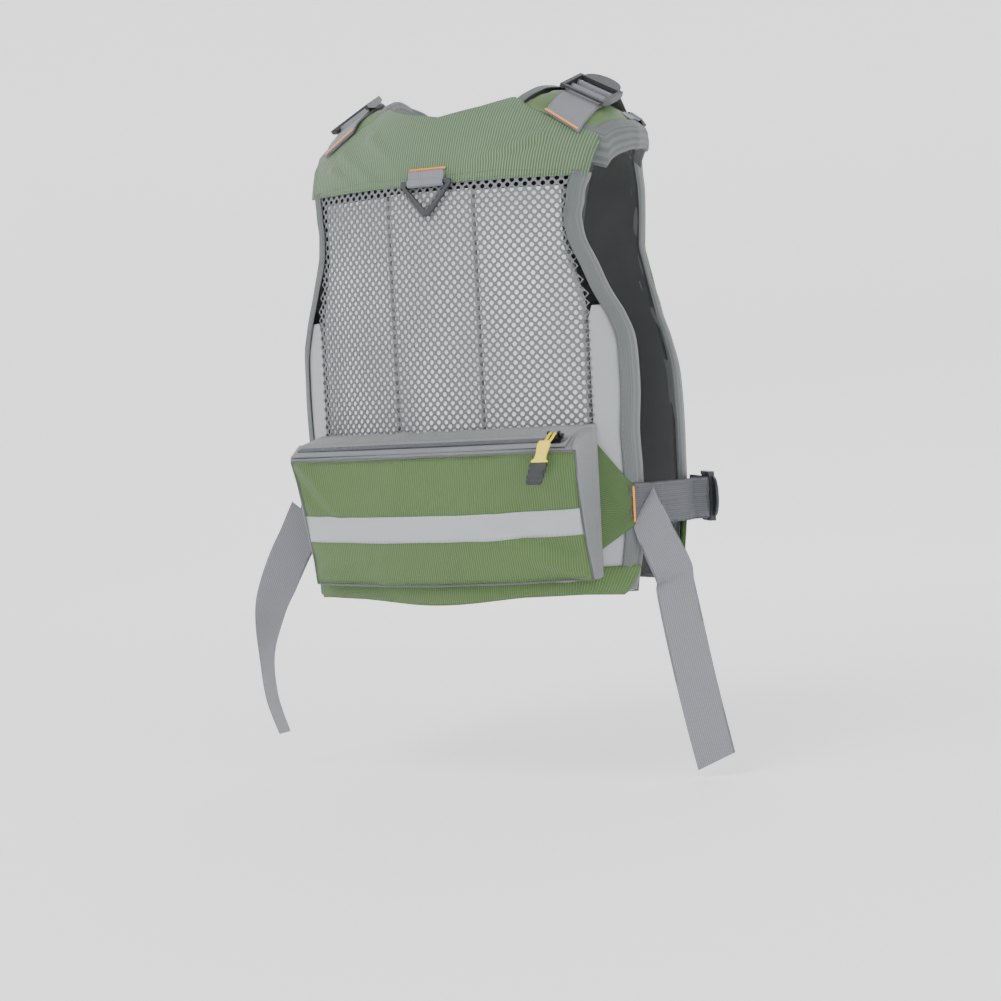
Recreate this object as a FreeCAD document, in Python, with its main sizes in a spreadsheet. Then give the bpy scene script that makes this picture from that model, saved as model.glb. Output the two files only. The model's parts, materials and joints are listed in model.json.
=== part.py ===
import FreeCAD, Part
import math
import os

import Sketcher
from FreeCAD import Placement, Rotation, Vector

# Life jacket, in millimetres. The wearer faces -Y, the back is +Y, up is +Z.
# Soft layers are offsets of one body form: an oval in plan, revolved over the shoulders.

os.makedirs("parts", exist_ok=True)
doc = FreeCAD.newDocument("life_jacket")
sheet = doc.addObject("Spreadsheet::Sheet", "Sizes")

SIZES = {
    # body form the layers are wrapped on
    "half_width": "180",
    "half_depth": "120",
    "side_radius": "90",
    "shoulder_height": "357",
    "side_offset": "=half_width - side_radius",
    "back_radius": "=(half_depth^2 + side_offset^2 - side_radius^2) / (2 * (half_depth - side_radius))",
    "arc_depth": "=back_radius - half_depth",
    # layers, as distances out from the body form
    "lining_out": "1",
    "foam_in": "1.2",
    "foam_thickness": "14",
    "foam_out": "=foam_in + foam_thickness",
    "mesh_in": "=foam_out + 0.2",
    "mesh_out": "=mesh_in + 1",
    "cover_in": "=mesh_out + 0.2",
    "cover_out": "=cover_in + 1.2",
    "trim_in": "=cover_out + 0.2",
    "trim_out": "=trim_in + 1.2",
    "layer_turn": "62",
    # webbing and the ladder lock buckles
    "webbing_width": "38",
    "webbing": "1.3",
    "bar_radius": "2",
    "bar_gap": "0.1",
    "lock_bar_pitch": "14",
    "lock_width": "47",
    "lock_reach": "18",
    "lock_foot": "2.2",
    "lock_rail": "3.6",
    "sewn_depth": "3.4",
    "shoulder_turn": "68",
    "shoulder_skew": "8",
    "shoulder_share": "0.655",
    "waist_turn": "119",
    "strap_height": "83",
    # back pocket
    "pocket_half": "140",
    "pocket_top": "158",
    "pocket_lip": "131",
    "pocket_bottom": "18",
    "pocket_reach": "48",
    "pocket_foot": "9",
    "cloth": "1.4",
    # hang ring, zips and small buckle
    "ring_width": "50",
    "ring_drop": "31",
    "ring_bar": "4",
    "ring_lean": "6",
    "hang_width": "36",
    "hang_rise": "29",
    "hang_bore": "2.45",
    "zip_length": "274",
    "tape": "1",
    "teeth_width": "5",
    "teeth_height": "1.8",
    "pin_radius": "1",
    "tail_drop": "240",
}


def set_cell(row, alias, text):
    sheet.set(f"A{row}", alias)
    sheet.set(f"B{row}", text)
    sheet.setAlias(f"B{row}", alias)


for row_number, (size_name, size_text) in enumerate(SIZES.items(), start=1):
    set_cell(row_number, size_name, size_text)
doc.recompute()
formula_rows = iter(range(len(SIZES) + 2, 5000))
formula_cells = {}
sub_parts = []


def size(name):
    """The number a sheet cell holds."""
    return float(sheet.get(name))


def cell(formula):
    """Keep a formula in a sheet cell of its own; give back the cell's name and its number."""
    if formula not in formula_cells:
        row = next(formula_rows)
        alias = f"formula_{row}"
        set_cell(row, alias, "=" + formula)
        sheet.recompute()
        formula_cells[formula] = alias
    alias = formula_cells[formula]
    return alias, size(alias)


def bind(feature, prop, formula):
    feature.setExpression(prop, f"Sizes.{cell(formula)[0]}")


def node(feature, name, placement=None):
    """Make a feature one of the sub-parts that are written out."""
    feature.Label = name
    if placement is not None:
        feature.Placement = placement
    sub_parts.append(feature)
    return feature


# ---- sketches ----

UPRIGHT = Placement(Vector(), Rotation(Vector(1, 0, 0), 90))
SIDEWAYS = Placement(Vector(), Rotation(Vector(1, 1, 1), 120))


def draw(sketch, corners):
    """Closed outline of straight lines whose corners follow sheet formulas."""
    named = [(cell(x), cell(y)) for x, y in corners]
    first = sketch.GeometryCount
    count = len(named)
    points = [Vector(x[1], y[1], 0) for x, y in named]
    lines = [Part.LineSegment(points[i], points[(i + 1) % count]) for i in range(count)]
    sketch.addGeometry(lines, False)
    joins = [Sketcher.Constraint("Coincident", first + i, 2, first + (i + 1) % count, 1)
             for i in range(count)]
    sketch.addConstraint(joins)
    for i, (x, y) in enumerate(named):
        for kind, (alias, number) in (("DistanceX", x), ("DistanceY", y)):
            made = sketch.addConstraint(Sketcher.Constraint(kind, -1, 1, first + i, 1, number))
            sketch.setExpression(f"Constraints[{made}]", f"Sizes.{alias}")


def outline(name, corners, placement=Placement()):
    sketch = doc.addObject("Sketcher::SketchObject", name + "_outline")
    sketch.Placement = placement
    draw(sketch, corners)
    return sketch


def arc_band(name, centre, inner, outer, start, end):
    """Band between two arcs round one centre, closed by radial lines at start and end degrees."""
    sketch = doc.addObject("Sketcher::SketchObject", name + "_band")
    (cx, x), (cy, y) = cell(centre[0]), cell(centre[1])
    middle = Vector(x, y, 0)
    radii = [cell(inner), cell(outer)]
    ends = [cell(start), cell(end)]
    turns = [math.radians(ends[0][1]), math.radians(ends[1][1])]
    arcs = [Part.ArcOfCircle(Part.Circle(middle, Vector(0, 0, 1), radius), *turns)
            for _, radius in radii]
    sketch.addGeometry(arcs, False)
    for turn in turns:
        way = Vector(math.cos(turn), math.sin(turn), 0)
        line = Part.LineSegment(middle + way * radii[0][1], middle + way * radii[1][1])
        sketch.addGeometry(line, False)
    pin = Sketcher.Constraint
    sketch.addConstraint([
        pin("Coincident", 0, 3, 1, 3),
        pin("Coincident", 0, 1, 2, 1), pin("Coincident", 1, 1, 2, 2),
        pin("Coincident", 0, 2, 3, 1), pin("Coincident", 1, 2, 3, 2),
        pin("PointOnObject", 0, 3, 2), pin("PointOnObject", 0, 3, 3),
    ])
    bound = [
        (pin("DistanceX", -1, 1, 0, 3, x), cx, ""), (pin("DistanceY", -1, 1, 0, 3, y), cy, ""),
        (pin("Radius", 0, radii[0][1]), radii[0][0], ""), (pin("Radius", 1, radii[1][1]), radii[1][0], ""),
        (pin("Angle", 2, turns[0]), ends[0][0], " * 1 deg"), (pin("Angle", 3, turns[1]), ends[1][0], " * 1 deg"),
    ]
    for constraint, alias, unit in bound:
        made = sketch.addConstraint(constraint)
        sketch.setExpression(f"Constraints[{made}]", f"Sizes.{alias}{unit}")
    return sketch


# ---- solids from sketches ----


def extrude(name, sketch, way, length, back="0"):
    solid = doc.addObject("Part::Extrusion", name)
    solid.Base = sketch
    solid.DirMode = "Custom"
    solid.Dir = Vector(*way)
    solid.Solid = True
    bind(solid, "LengthFwd", length)
    bind(solid, "LengthRev", back)
    return solid


def boolean(kind, name, first, second):
    made = doc.addObject(f"Part::{kind}", name)
    made.Base = first
    made.Tool = second
    return made


def fuse(name, pieces):
    made = doc.addObject("Part::MultiFuse", name)
    made.Shapes = pieces
    return made


def mirrored(feature, name, normal=(1, 0, 0)):
    made = doc.addObject("Part::Mirroring", name)
    made.Source = feature
    made.Normal = Vector(*normal)
    return made


def both_sides(feature, name):
    """The feature is the left one, on +X; its mirror image is the right one."""
    node(feature, name + "_left")
    return node(mirrored(feature, name + "_right_half"), name + "_right")


def block(name, length, width, height, placement):
    made = doc.addObject("Part::Box", name)
    for prop, formula in (("Length", length), ("Width", width), ("Height", height)):
        bind(made, prop, formula)
    made.Placement = placement
    return made


def centred(name, length, width, height, placement, lift=0.0):
    """Box centred across local X and Y, standing on local Z = lift."""
    corner = Vector(-cell(length)[1] / 2, -cell(width)[1] / 2, lift)
    return block(name, length, width, height, placement.multiply(Placement(corner, Rotation())))


def rod(name, radius, length, placement):
    """Round bar along local X, centred on the placement."""
    made = doc.addObject("Part::Cylinder", name)
    bind(made, "Radius", radius)
    bind(made, "Height", length)
    turn = Placement(Vector(-cell(length)[1] / 2, 0, 0), Rotation(Vector(0, 1, 0), 90))
    made.Placement = placement.multiply(turn)
    return made


def tube(name, inner, outer, length, placement):
    return boolean("Cut", name, rod(name + "_outside", outer, length, placement),
                   rod(name + "_bore", inner, length + " + 2", placement))


# ---- layers of the body form ----


def revolve(name, sketch, angle):
    turned = doc.addObject("Part::Revolution", name)
    turned.Source = sketch
    turned.Axis = Vector(1, 0, 0)
    turned.Solid = True
    turned.setExpression("Base.z", "Sizes.shoulder_height")
    bind(turned, "Angle", angle)
    return turned


def back_band(name, inner, outer, reach="47"):
    """Plan band over the back, at shoulder height, reach degrees to each side."""
    sketch = arc_band(name, ("0", "-arc_depth"), f"back_radius + {inner}", f"back_radius + {outer}",
                      f"90 - {reach}", f"90 + {reach}")
    sketch.setExpression("Placement.Base.z", "Sizes.shoulder_height")
    return sketch


def layer(name, inner, outer):
    """Shell over the back: straight up to the shoulder height, then curving forward."""
    sketch = back_band(name, inner, outer)
    upright = extrude(name + "_upright", sketch, (0, 0, -1), "shoulder_height")
    return fuse(name + "_layer", [upright, revolve(name + "_curved", sketch, "layer_turn")])


lining_layer = layer("lining", "0", "lining_out")
foam_layer = layer("foam", "foam_in", "foam_out")
mesh_layer = layer("mesh", "mesh_in", "mesh_out")
cover_layer = layer("cover", "cover_in", "cover_out")
trim_layer = layer("trim", "trim_in", "trim_out")
front_lining_layer = mirrored(lining_layer, "front_lining_layer", (0, 1, 0))
front_foam_layer = mirrored(foam_layer, "front_foam_layer", (0, 1, 0))
front_cover_layer = mirrored(cover_layer, "front_cover_layer", (0, 1, 0))


def w(share):
    return f"{share} * half_width"


def up(rise):
    return f"shoulder_height + {rise}"


def panel(name, shell, corners, way=1):
    """The part of a layer inside an outline seen from the back (way 1) or the front (way -1)."""
    cutter = extrude(name + "_cutter", outline(name, corners, UPRIGHT), (0, way, 0), "400")
    return boolean("Common", name, shell, cutter)


def symmetric(half):
    """Outline from its right half, listed upward from the hem."""
    return half + [("-(" + x + ")", z) for x, z in reversed(half) if x != "0"]


# ---- back panel ----


def make_back():
    full = symmetric([
        (w(0.89), "1"), (w(0.925), "60"), (w(0.925), "0.65 * shoulder_height"),
        (w(0.85), "0.76 * shoulder_height"), (w(0.72), "0.92 * shoulder_height"),
        (w(0.77), up("36")), (w(0.79), up("50")), (w(0.66), up("72")), (w(0.46), up("92")),
        (w(0.36), up("106")), (w(0.22), up("98")), ("0", up("90")),
    ])
    node(panel("back_lining_panel", lining_layer, full), "back_lining")
    mesh = symmetric([
        (w(0.765), "2"), (w(0.765), "0.67 * shoulder_height"), (w(0.80), "0.75 * shoulder_height"),
        (w(0.70), "0.89 * shoulder_height"), (w(0.69), "0.97 * shoulder_height"),
        (w(0.75), up("37")), (w(0.76), up("48")),
    ])
    node(panel("mesh_panel", mesh_layer, mesh), "back_mesh")
    side_foam = [
        ("44", "4"), ("0.735 * half_width", "4"), ("0.735 * half_width", "0.74 * shoulder_height"),
        ("0.66 * half_width", "0.9 * shoulder_height"), ("0.66 * half_width", up("20")), ("44", up("22")),
    ]
    both_sides(panel("side_foam", foam_layer, side_foam), "back_foam")
    node(panel("middle_foam", foam_layer, symmetric([("42", "4"), ("42", up("22"))])), "back_foam_center")
    collar = symmetric([("0.34 * half_width", up("26")), ("0.34 * half_width", up("92")), ("0", up("84"))])
    node(panel("collar_foam", foam_layer, collar), "neck_foam")
    yoke = symmetric([
        (w(0.79), up("39")), (w(0.82), up("55")), (w(0.80), up("67")), (w(0.67), up("77")),
        (w(0.47), up("95")), (w(0.36), up("109")), (w(0.22), up("100")), ("0", up("92")),
    ])
    node(panel("yoke_panel", cover_layer, yoke), "yoke")
    hem = symmetric([(w(0.86), "0"), (w(0.88), "27"), (w(0.78), "16.5")])
    node(panel("hem_strip", cover_layer, hem), "hem_panel")


def make_sides():
    side = [
        (w(0.765), "2"), (w(0.885), "2"), (w(0.92), "50"), (w(0.92), "0.65 * shoulder_height"),
        (w(0.855), "0.745 * shoulder_height"), (w(0.765), "0.72 * shoulder_height"),
    ]
    both_sides(panel("side_strip", foam_layer, side), "side_panel")
    binding = [
        (w(0.925), "0.3 * shoulder_height"), (w(0.93), "0.65 * shoulder_height"),
        (w(0.855), "0.765 * shoulder_height"), (w(0.725), "0.92 * shoulder_height"), (w(0.785), up("38")),
        (w(0.72), up("38")), (w(0.655), "0.92 * shoulder_height"), (w(0.79), "0.745 * shoulder_height"),
        (w(0.86), "0.64 * shoulder_height"), (w(0.86), "0.3 * shoulder_height"),
    ]
    both_sides(panel("binding_strip", cover_layer, binding), "armhole_binding")
    wing = [
        (w(0.80), "41"), (w(0.93), "67"), (w(0.922), "98"), (w(0.80), "139"),
    ]
    both_sides(panel("wing_panel", trim_layer, wing), "wing")


# ---- shoulders ----


def make_pads():
    sketch = back_band("pad", "foam_in", "mesh_out")
    ring = revolve("pad_ring", sketch, "180")
    plan = [
        (w(0.37), "74"), (w(0.44), "20"), (w(0.46), "-20"), (w(0.41), "-62"),
        (w(0.78), "-60"), (w(0.91), "-15"), (w(0.915), "15"), (w(0.83), "60"), (w(0.66), "80"),
    ]
    column = outline("pad_plan", plan)
    column.setExpression("Placement.Base.z", "Sizes.shoulder_height + 20")
    cutter = extrude("pad_column", column, (0, 0, 1), "300")
    both_sides(boolean("Common", "pad", ring, cutter), "shoulder_pad")


def shoulder_frame():
    """Local frame of the left shoulder buckle: origin on its hinge bar, Y to the back, Z outward."""
    radius = size("back_radius") + size("trim_in") + 0.2
    along = size("shoulder_share") * size("half_width")
    lean = math.asin(along / radius)
    turn = math.radians(size("shoulder_turn"))
    reach = math.sqrt(radius**2 - along**2) - size("arc_depth")
    touch = Vector(along, reach * math.cos(turn), size("shoulder_height") + reach * math.sin(turn))
    rotation = Rotation(Vector(1, 0, 0), size("shoulder_turn") - 90)
    rotation = rotation.multiply(Rotation(Vector(0, 1, 0), math.degrees(lean)))
    rotation = rotation.multiply(Rotation(Vector(0, 0, 1), size("shoulder_skew")))
    return Placement(touch, rotation).multiply(seat_of_lock())


def seat_of_lock():
    """Step from the point a buckle rests on to its hinge bar."""
    return Placement(Vector(0, -size("lock_reach"), size("sewn_depth") + 0.2), Rotation())


def waist_frame():
    """Local frame of the left waist buckle: origin on its hinge bar, Y to the front, Z outward."""
    radius = size("side_radius") + size("trim_in") + 0.2
    turn = math.radians(size("waist_turn"))
    touch = Vector(size("side_offset") + radius * math.sin(turn), radius * math.cos(turn), size("strap_height"))
    rotation = Rotation(Vector(0, 0, 1), Vector(math.cos(turn), -math.sin(turn), 0),
                        Vector(math.sin(turn), math.cos(turn), 0), "XYZ")
    return Placement(touch, rotation).multiply(seat_of_lock())


def ladder_lock(name, frame):
    """Moulded strap adjuster: two rails, four bars and a lift tab."""
    rail_line = [("lock_reach", "1"), ("lock_reach", "5"), ("-26", "5"), ("-26", "-0.5"),
                 ("-16", "-lock_foot"), ("4", "-lock_foot")]
    across = Placement(Vector(), Rotation(Vector(1, 1, 1), 120))
    rails = []
    for side, start in (("a", "lock_width / 2 - lock_rail"), ("b", "-lock_width / 2")):
        sketch = outline(f"{name}_rail_{side}", rail_line, frame.multiply(
            Placement(Vector(cell(start)[1], 0, 0), Rotation())).multiply(across))
        normal = frame.Rotation.multVec(Vector(1, 0, 0))
        rails.append(extrude(f"{name}_side_{side}", sketch, tuple(normal), "lock_rail"))
    span = "lock_width - 2"
    first = centred(name + "_bar_a", span, "4", "2.4", frame.multiply(Placement(Vector(0, 16, 0), Rotation())), 2.6)
    hinge = rod(name + "_bar_b", "bar_radius", span, frame)
    pitch = -size("lock_bar_pitch")
    grip = rod(name + "_bar_c", "bar_radius", span, frame.multiply(Placement(Vector(0, pitch, 0), Rotation())))
    last = centred(name + "_bar_d", span, "3.5", "5", frame.multiply(Placement(Vector(0, -24.2, 0), Rotation())), 0)
    tab = doc.addObject("Part::Cylinder", name + "_tab")
    bind(tab, "Radius", "lock_width / 2 - 4.5")
    bind(tab, "Height", "2.4")
    bind(tab, "Angle", "180")
    tab.Placement = frame.multiply(Placement(Vector(0, -25, 2.6), Rotation(Vector(0, 0, 1), 180)))
    return fuse(name, rails + [first, hinge, grip, last, tab])


def hinge_webbing(name, frame, length):
    """Webbing sewn down at one end and turned round the buckle's hinge bar."""
    eye = tube(name + "_eye", "bar_radius + bar_gap", "bar_radius + bar_gap + webbing", "webbing_width", frame)
    tail = block(name + "_plies", "webbing_width", length, "2 * webbing", frame.multiply(
        Placement(Vector(-size("webbing_width") / 2, 1.5, -size("sewn_depth")), Rotation())))
    groove = rod(name + "_groove", "bar_radius + bar_gap", "webbing_width + 2", frame)
    return fuse(name, [eye, boolean("Cut", name + "_sewn", tail, groove)])


def grip_webbing(name, frame, touch_radius):
    """Webbing turned round the grip bar with slack for its lift, then led straight to the surface."""
    pitch = size("lock_bar_pitch")
    ring = [("-lock_bar_pitch - 4.2", "-3.6"), ("-lock_bar_pitch + 4.2", "-3.6"),
            ("-lock_bar_pitch + 4.2", "6.7"), ("-lock_bar_pitch - 4.2", "6.7")]
    hole = [("-lock_bar_pitch - 2.9", "-2.3"), ("-lock_bar_pitch + 2.9", "-2.3"),
            ("-lock_bar_pitch + 2.9", "5.4"), ("-lock_bar_pitch - 2.9", "5.4")]
    middle_z = -3.6 - touch_radius
    start_y, start_z = -pitch - 4.2, -3.6
    seat = size("lock_reach")
    away = math.hypot(start_y - seat, start_z - middle_z)
    lead = math.atan2(seat - start_y, start_z - middle_z) + math.acos((touch_radius - 0.3) / away)
    end_y = seat - touch_radius * math.sin(lead)
    end_z = middle_z + touch_radius * math.cos(lead)
    lead_way = Vector(0, end_y - start_y, end_z - start_z).normalize()
    thick = size("webbing")
    out = Vector(0, lead_way.z, -lead_way.y) * thick
    corners = [Vector(0, start_y + 3, start_z), Vector(0, start_y, start_z), Vector(0, end_y, end_z)]
    corners += [corners[2] + out, Vector(0, start_y, start_z) + out, Vector(0, start_y + 3, start_z + thick)]
    lead_line = [(f"{p.y:.3f}", f"{p.z:.3f}") for p in corners]
    half = Placement(Vector(-size("webbing_width") / 2, 0, 0), Rotation())
    across = frame.multiply(half).multiply(SIDEWAYS)
    normal = tuple(frame.Rotation.multVec(Vector(1, 0, 0)))
    solids = [extrude(f"{name}_{part}", outline(f"{name}_{part}", line, across), normal, "webbing_width")
              for part, line in (("turn", ring), ("hole", hole), ("lead", lead_line))]
    loop = boolean("Cut", name + "_loop", solids[0], solids[1])
    return fuse(name + "_end", [loop, solids[2]]), lead


def make_shoulders():
    frame = shoulder_frame()
    both_sides(ladder_lock("shoulder_lock", frame), "shoulder_buckle")
    both_sides(hinge_webbing("shoulder_hinge_webbing", frame, "33"), "shoulder_strap")
    along = size("shoulder_share") * size("half_width")
    touch = math.sqrt((size("back_radius") + size("trim_in"))**2 - along**2) - size("arc_depth")
    # the skewed strap runs inward, where the pad stands higher
    climb = 3.2
    end, lead = grip_webbing("shoulder_grip", frame, touch + climb)
    sketch = arc_band("shoulder_run", ("0", "-arc_depth"), "back_radius + trim_in",
                      "back_radius + trim_in + webbing", "58.5", "67.5")
    sketch.Placement = Placement(Vector(0, 0, size("shoulder_height")), Rotation())
    ring = revolve("shoulder_run_ring", sketch, "30")
    turned = math.degrees(lead) + size("shoulder_turn") - 7
    turn = Placement(Vector(0, 0, 0), Rotation(Vector(1, 0, 0), turned), Vector(0, 0, size("shoulder_height")))
    ring.Placement = turn
    both_sides(fuse("shoulder_run_whole", [end, ring]), "shoulder_webbing")


def make_waist():
    frame = waist_frame()
    both_sides(ladder_lock("waist_lock", frame), "waist_buckle")
    both_sides(hinge_webbing("waist_hinge_webbing", frame, "47"), "waist_anchor")
    end, lead = grip_webbing("waist_grip", frame, size("side_radius") + size("trim_in") + 0.2)
    start = size("waist_turn") - math.degrees(lead) + 3
    for side, fold, profile, lean in (
        ("left", 50, [("0.5", "-19"), ("15", "-44"), ("29", "-94"), ("31", "-133"), ("16", "-210")], -9),
        ("right", 50, [("0.5", "-19"), ("10", "-60"), ("17", "-84"), ("33", "-tail_drop")], -16),
    ):
        run = arc_band(f"waist_run_{side}", ("side_offset", "0"), "side_radius + trim_in + 0.2",
                       "side_radius + trim_in + 0.2 + webbing", f"{90 - start:.2f}", "43")
        run.Placement = Placement(Vector(0, 0, size("strap_height") - size("webbing_width") / 2), Rotation())
        strap = extrude(f"waist_strap_run_{side}", run, (0, 0, 1), "webbing_width")
        back = arc_band(f"waist_return_{side}", ("side_offset", "0"), "side_radius + trim_in + 1.7",
                        "side_radius + trim_in + 3", f"{90 - start + 2:.2f}", f"{90 - fold + 10}")
        back.Placement = run.Placement
        tail_run = extrude(f"waist_tail_run_{side}", back, (0, 0, 1), "webbing_width")
        step = arc_band(f"waist_join_{side}", ("side_offset", "0"), "side_radius + trim_in + 0.4",
                        "side_radius + trim_in + 2.8", f"{90 - start + 2:.2f}", f"{90 - start + 5:.2f}")
        step.Placement = run.Placement
        join = extrude(f"waist_joined_{side}", step, (0, 0, 1), "webbing_width")
        hang = hanging_tail(f"waist_tail_{side}", fold, profile, lean)
        whole = fuse(f"waist_whole_{side}", [end, strap, tail_run, join, hang])
        if side == "right":
            whole = mirrored(whole, "waist_whole_right_side")
        node(whole, f"waist_strap_{side}")


def hanging_tail(name, fold, profile, lean):
    """Free end of a waist strap: folded over the strap, then hanging down from it."""
    turn = math.radians(fold)
    radius = size("side_radius") + size("trim_in") + 2.6
    foot = Vector(size("side_offset") + radius * math.sin(turn), radius * math.cos(turn), size("strap_height"))
    along = Vector(-math.cos(turn), math.sin(turn), 0)
    outward = Vector(math.sin(turn), math.cos(turn), 0)
    frame = Placement(foot, Rotation(along, Vector(0, 0, 1), outward, "XYZ"))
    frame = frame.multiply(Placement(Vector(), Rotation(Vector(0, 0, 1), lean)))
    start = ("0", "webbing_width / 2")
    inner = [start] + profile
    outer = [(f"{x} + webbing", z) for x, z in reversed(inner)]
    # sketch X is outward, sketch Y is up, and the strap's width runs along local X
    upright = Placement(Vector(-size("webbing_width") / 2, 0, 0), Rotation(Vector(0, 1, 0), -90))
    sketch = outline(name, inner + outer, frame.multiply(upright))
    return extrude(name, sketch, tuple(frame.Rotation.multVec(Vector(1, 0, 0))), "webbing_width")


# ---- hang ring on the yoke ----


def ring_frame():
    reach = size("half_depth") + size("cover_in") + 3.6
    rise = size("hang_rise")
    return Placement(Vector(0, math.sqrt(reach**2 - rise**2), size("shoulder_height") + rise), Rotation())


def moulded(name, outlines, thickness, edge):
    """PartDesign body: a drawn plate, padded to both sides of the drawing, with its edges eased."""
    body = doc.addObject("PartDesign::Body", name)
    sketch = body.newObject("Sketcher::SketchObject", name + "_sketch")
    plane = next(f for f in body.Origin.OriginFeatures if f.Role == "XZ_Plane")
    sketch.AttachmentSupport = [(plane, "")]
    sketch.MapMode = "FlatFace"
    for corners in outlines:
        draw(sketch, corners)
    pad = body.newObject("PartDesign::Pad", name + "_pad")
    pad.Profile = sketch
    pad.SideType = "Symmetric"
    bind(pad, "Length", thickness)
    doc.recompute()
    eased = body.newObject("PartDesign::Fillet", name + "_eased")
    eased.Base = (pad, [f"Edge{i + 1}" for i in range(len(pad.Shape.Edges))])
    bind(eased, "Radius", edge)
    body.Tip = eased
    return body


def make_ring():
    frame = ring_frame()
    half = "ring_width / 2"
    outer = [(half, "2"), (half, "-3"), ("3.5", "-ring_drop"), ("-3.5", "-ring_drop"),
             (f"-{half}", "-3"), (f"-{half}", "2")]
    hole = [("ring_width / 2 - 4.5", "-2"), ("ring_width / 2 - 6", "-4.5"), ("1.2", "-ring_drop + 6.5"),
            ("-1.2", "-ring_drop + 6.5"), ("-ring_width / 2 + 6", "-4.5"), ("-ring_width / 2 + 4.5", "-2")]
    ring = moulded("triangle", [outer, hole], "ring_bar", "1.1")
    lean = Placement(Vector(), Rotation(Vector(1, 0, 0), size("ring_lean")))
    node(ring, "triangle_ring", frame.multiply(lean))
    eye = tube("hang_eye", "hang_bore", "hang_bore + 1.15", "hang_width", frame)
    flat = symmetric([("hang_width / 2", up("hang_rise")), ("hang_width / 2", up("hang_rise + 9.6"))])
    strip = panel("hang_strip", cover_layer, flat)
    groove = rod("hang_groove", "hang_bore", "hang_width + 2", frame)
    node(fuse("hang_loop_whole", [eye, boolean("Cut", "hang_sewn", strip, groove)]), "hang_loop")


# ---- back pocket ----


def pocket_points(inset):
    """Side outline of the pocket: Y from the back surface, Z up, drawn in by an inset."""
    back = "half_depth + cover_out"
    return [
        ("60", f"pocket_top - {inset}"), (f"{back} - {inset} / 4", f"pocket_top - {inset}"),
        (f"{back} + pocket_reach - {inset}", f"pocket_lip - {inset} / 3"),
        (f"{back} + pocket_foot - {inset} / 2", f"pocket_bottom + {inset}"),
        ("60", f"pocket_bottom + {inset}"),
    ]


def zip_frame():
    """Local frame of the back pocket zip: X along it, Z out of the sloping top."""
    back = size("half_depth") + size("cover_out")
    drop = size("pocket_top") - size("pocket_lip")
    slope = math.atan2(drop, size("pocket_reach"))
    middle = Vector(0, back + size("pocket_reach") / 2, size("pocket_top") - drop / 2)
    return Placement(middle, Rotation(Vector(1, 0, 0), -math.degrees(slope)))


def face_frame():
    """Local frame of the pocket face, with its height: Y up the face, Z outward, origin at its foot."""
    back = size("half_depth") + size("cover_out")
    run = size("pocket_reach") - size("pocket_foot")
    rise = size("pocket_lip") - size("pocket_bottom")
    foot = Vector(0, back + size("pocket_foot"), size("pocket_bottom"))
    rotation = Rotation(Vector(-1, 0, 0), Vector(0, run, rise), Vector(0, rise, -run), "XYZ")
    return Placement(foot, rotation), math.hypot(run, rise)


def make_pocket():
    body_form = doc.addObject("Part::Cylinder", "pocket_seat")
    bind(body_form, "Radius", "back_radius + trim_out + 0.3")
    bind(body_form, "Height", "400")
    body_form.setExpression("Placement.Base.y", "-Sizes.arc_depth")
    outside = extrude("pocket_outside", outline("pocket_side", pocket_points("0"), SIDEWAYS),
                      (1, 0, 0), "pocket_half", "pocket_half")
    inside = extrude("pocket_inside", outline("pocket_hollow", pocket_points("cloth"), SIDEWAYS),
                     (1, 0, 0), "pocket_half - cloth", "pocket_half - cloth")
    back = "half_depth + cover_out"
    band = [
        (f"{back} + pocket_reach - 1.4", "pocket_lip + 0.4"), (f"{back} + pocket_reach + 8", "pocket_lip + 0.4"),
        (f"{back} + pocket_foot + 8", "pocket_bottom - 5"), (f"{back} + pocket_foot - 1.4", "pocket_bottom - 5"),
        (f"{back} + pocket_foot - 1.4", "pocket_bottom"),
    ]
    slab = extrude("pocket_front_zone", outline("pocket_front_side", band, SIDEWAYS),
                   (1, 0, 0), "pocket_half + 5", "pocket_half + 5")
    face = boolean("Common", "pocket_face_slab", outside, slab)
    node(face, "pocket_face")
    bag = boolean("Cut", "pocket_bag", boolean("Cut", "pocket_hollowed", outside, inside), slab)
    node(boolean("Cut", "pocket_gusset_bag", bag, body_form), "pocket_gusset")


def slider(name, frame, pin_turn=0):
    """Zip slider straddling the teeth, with posts and a pin for its pull; local X is the zip."""
    top = centred(name + "_plate", "14", "11", "1.6", frame, 3.4)
    rails = [centred(f"{name}_flange_{i}", "12", "2", "3", frame.multiply(
        Placement(Vector(0, side * 4.4, 0), Rotation())), 1.5) for i, side in enumerate((-1, 1))]
    hinge = frame.multiply(Placement(Vector(), Rotation(Vector(0, 0, 1), pin_turn)))
    posts = [centred(f"{name}_post_{i}", "2", "3.2", "5.5", hinge.multiply(
        Placement(Vector(side * 5, 0, 0), Rotation())), 4.5) for i, side in enumerate((-1, 1))]
    pin = rod(name + "_pin", "pin_radius", "10", hinge.multiply(Placement(Vector(0, 0, 8.4), Rotation())))
    return fuse(name, [top, pin] + rails + posts)


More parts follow.
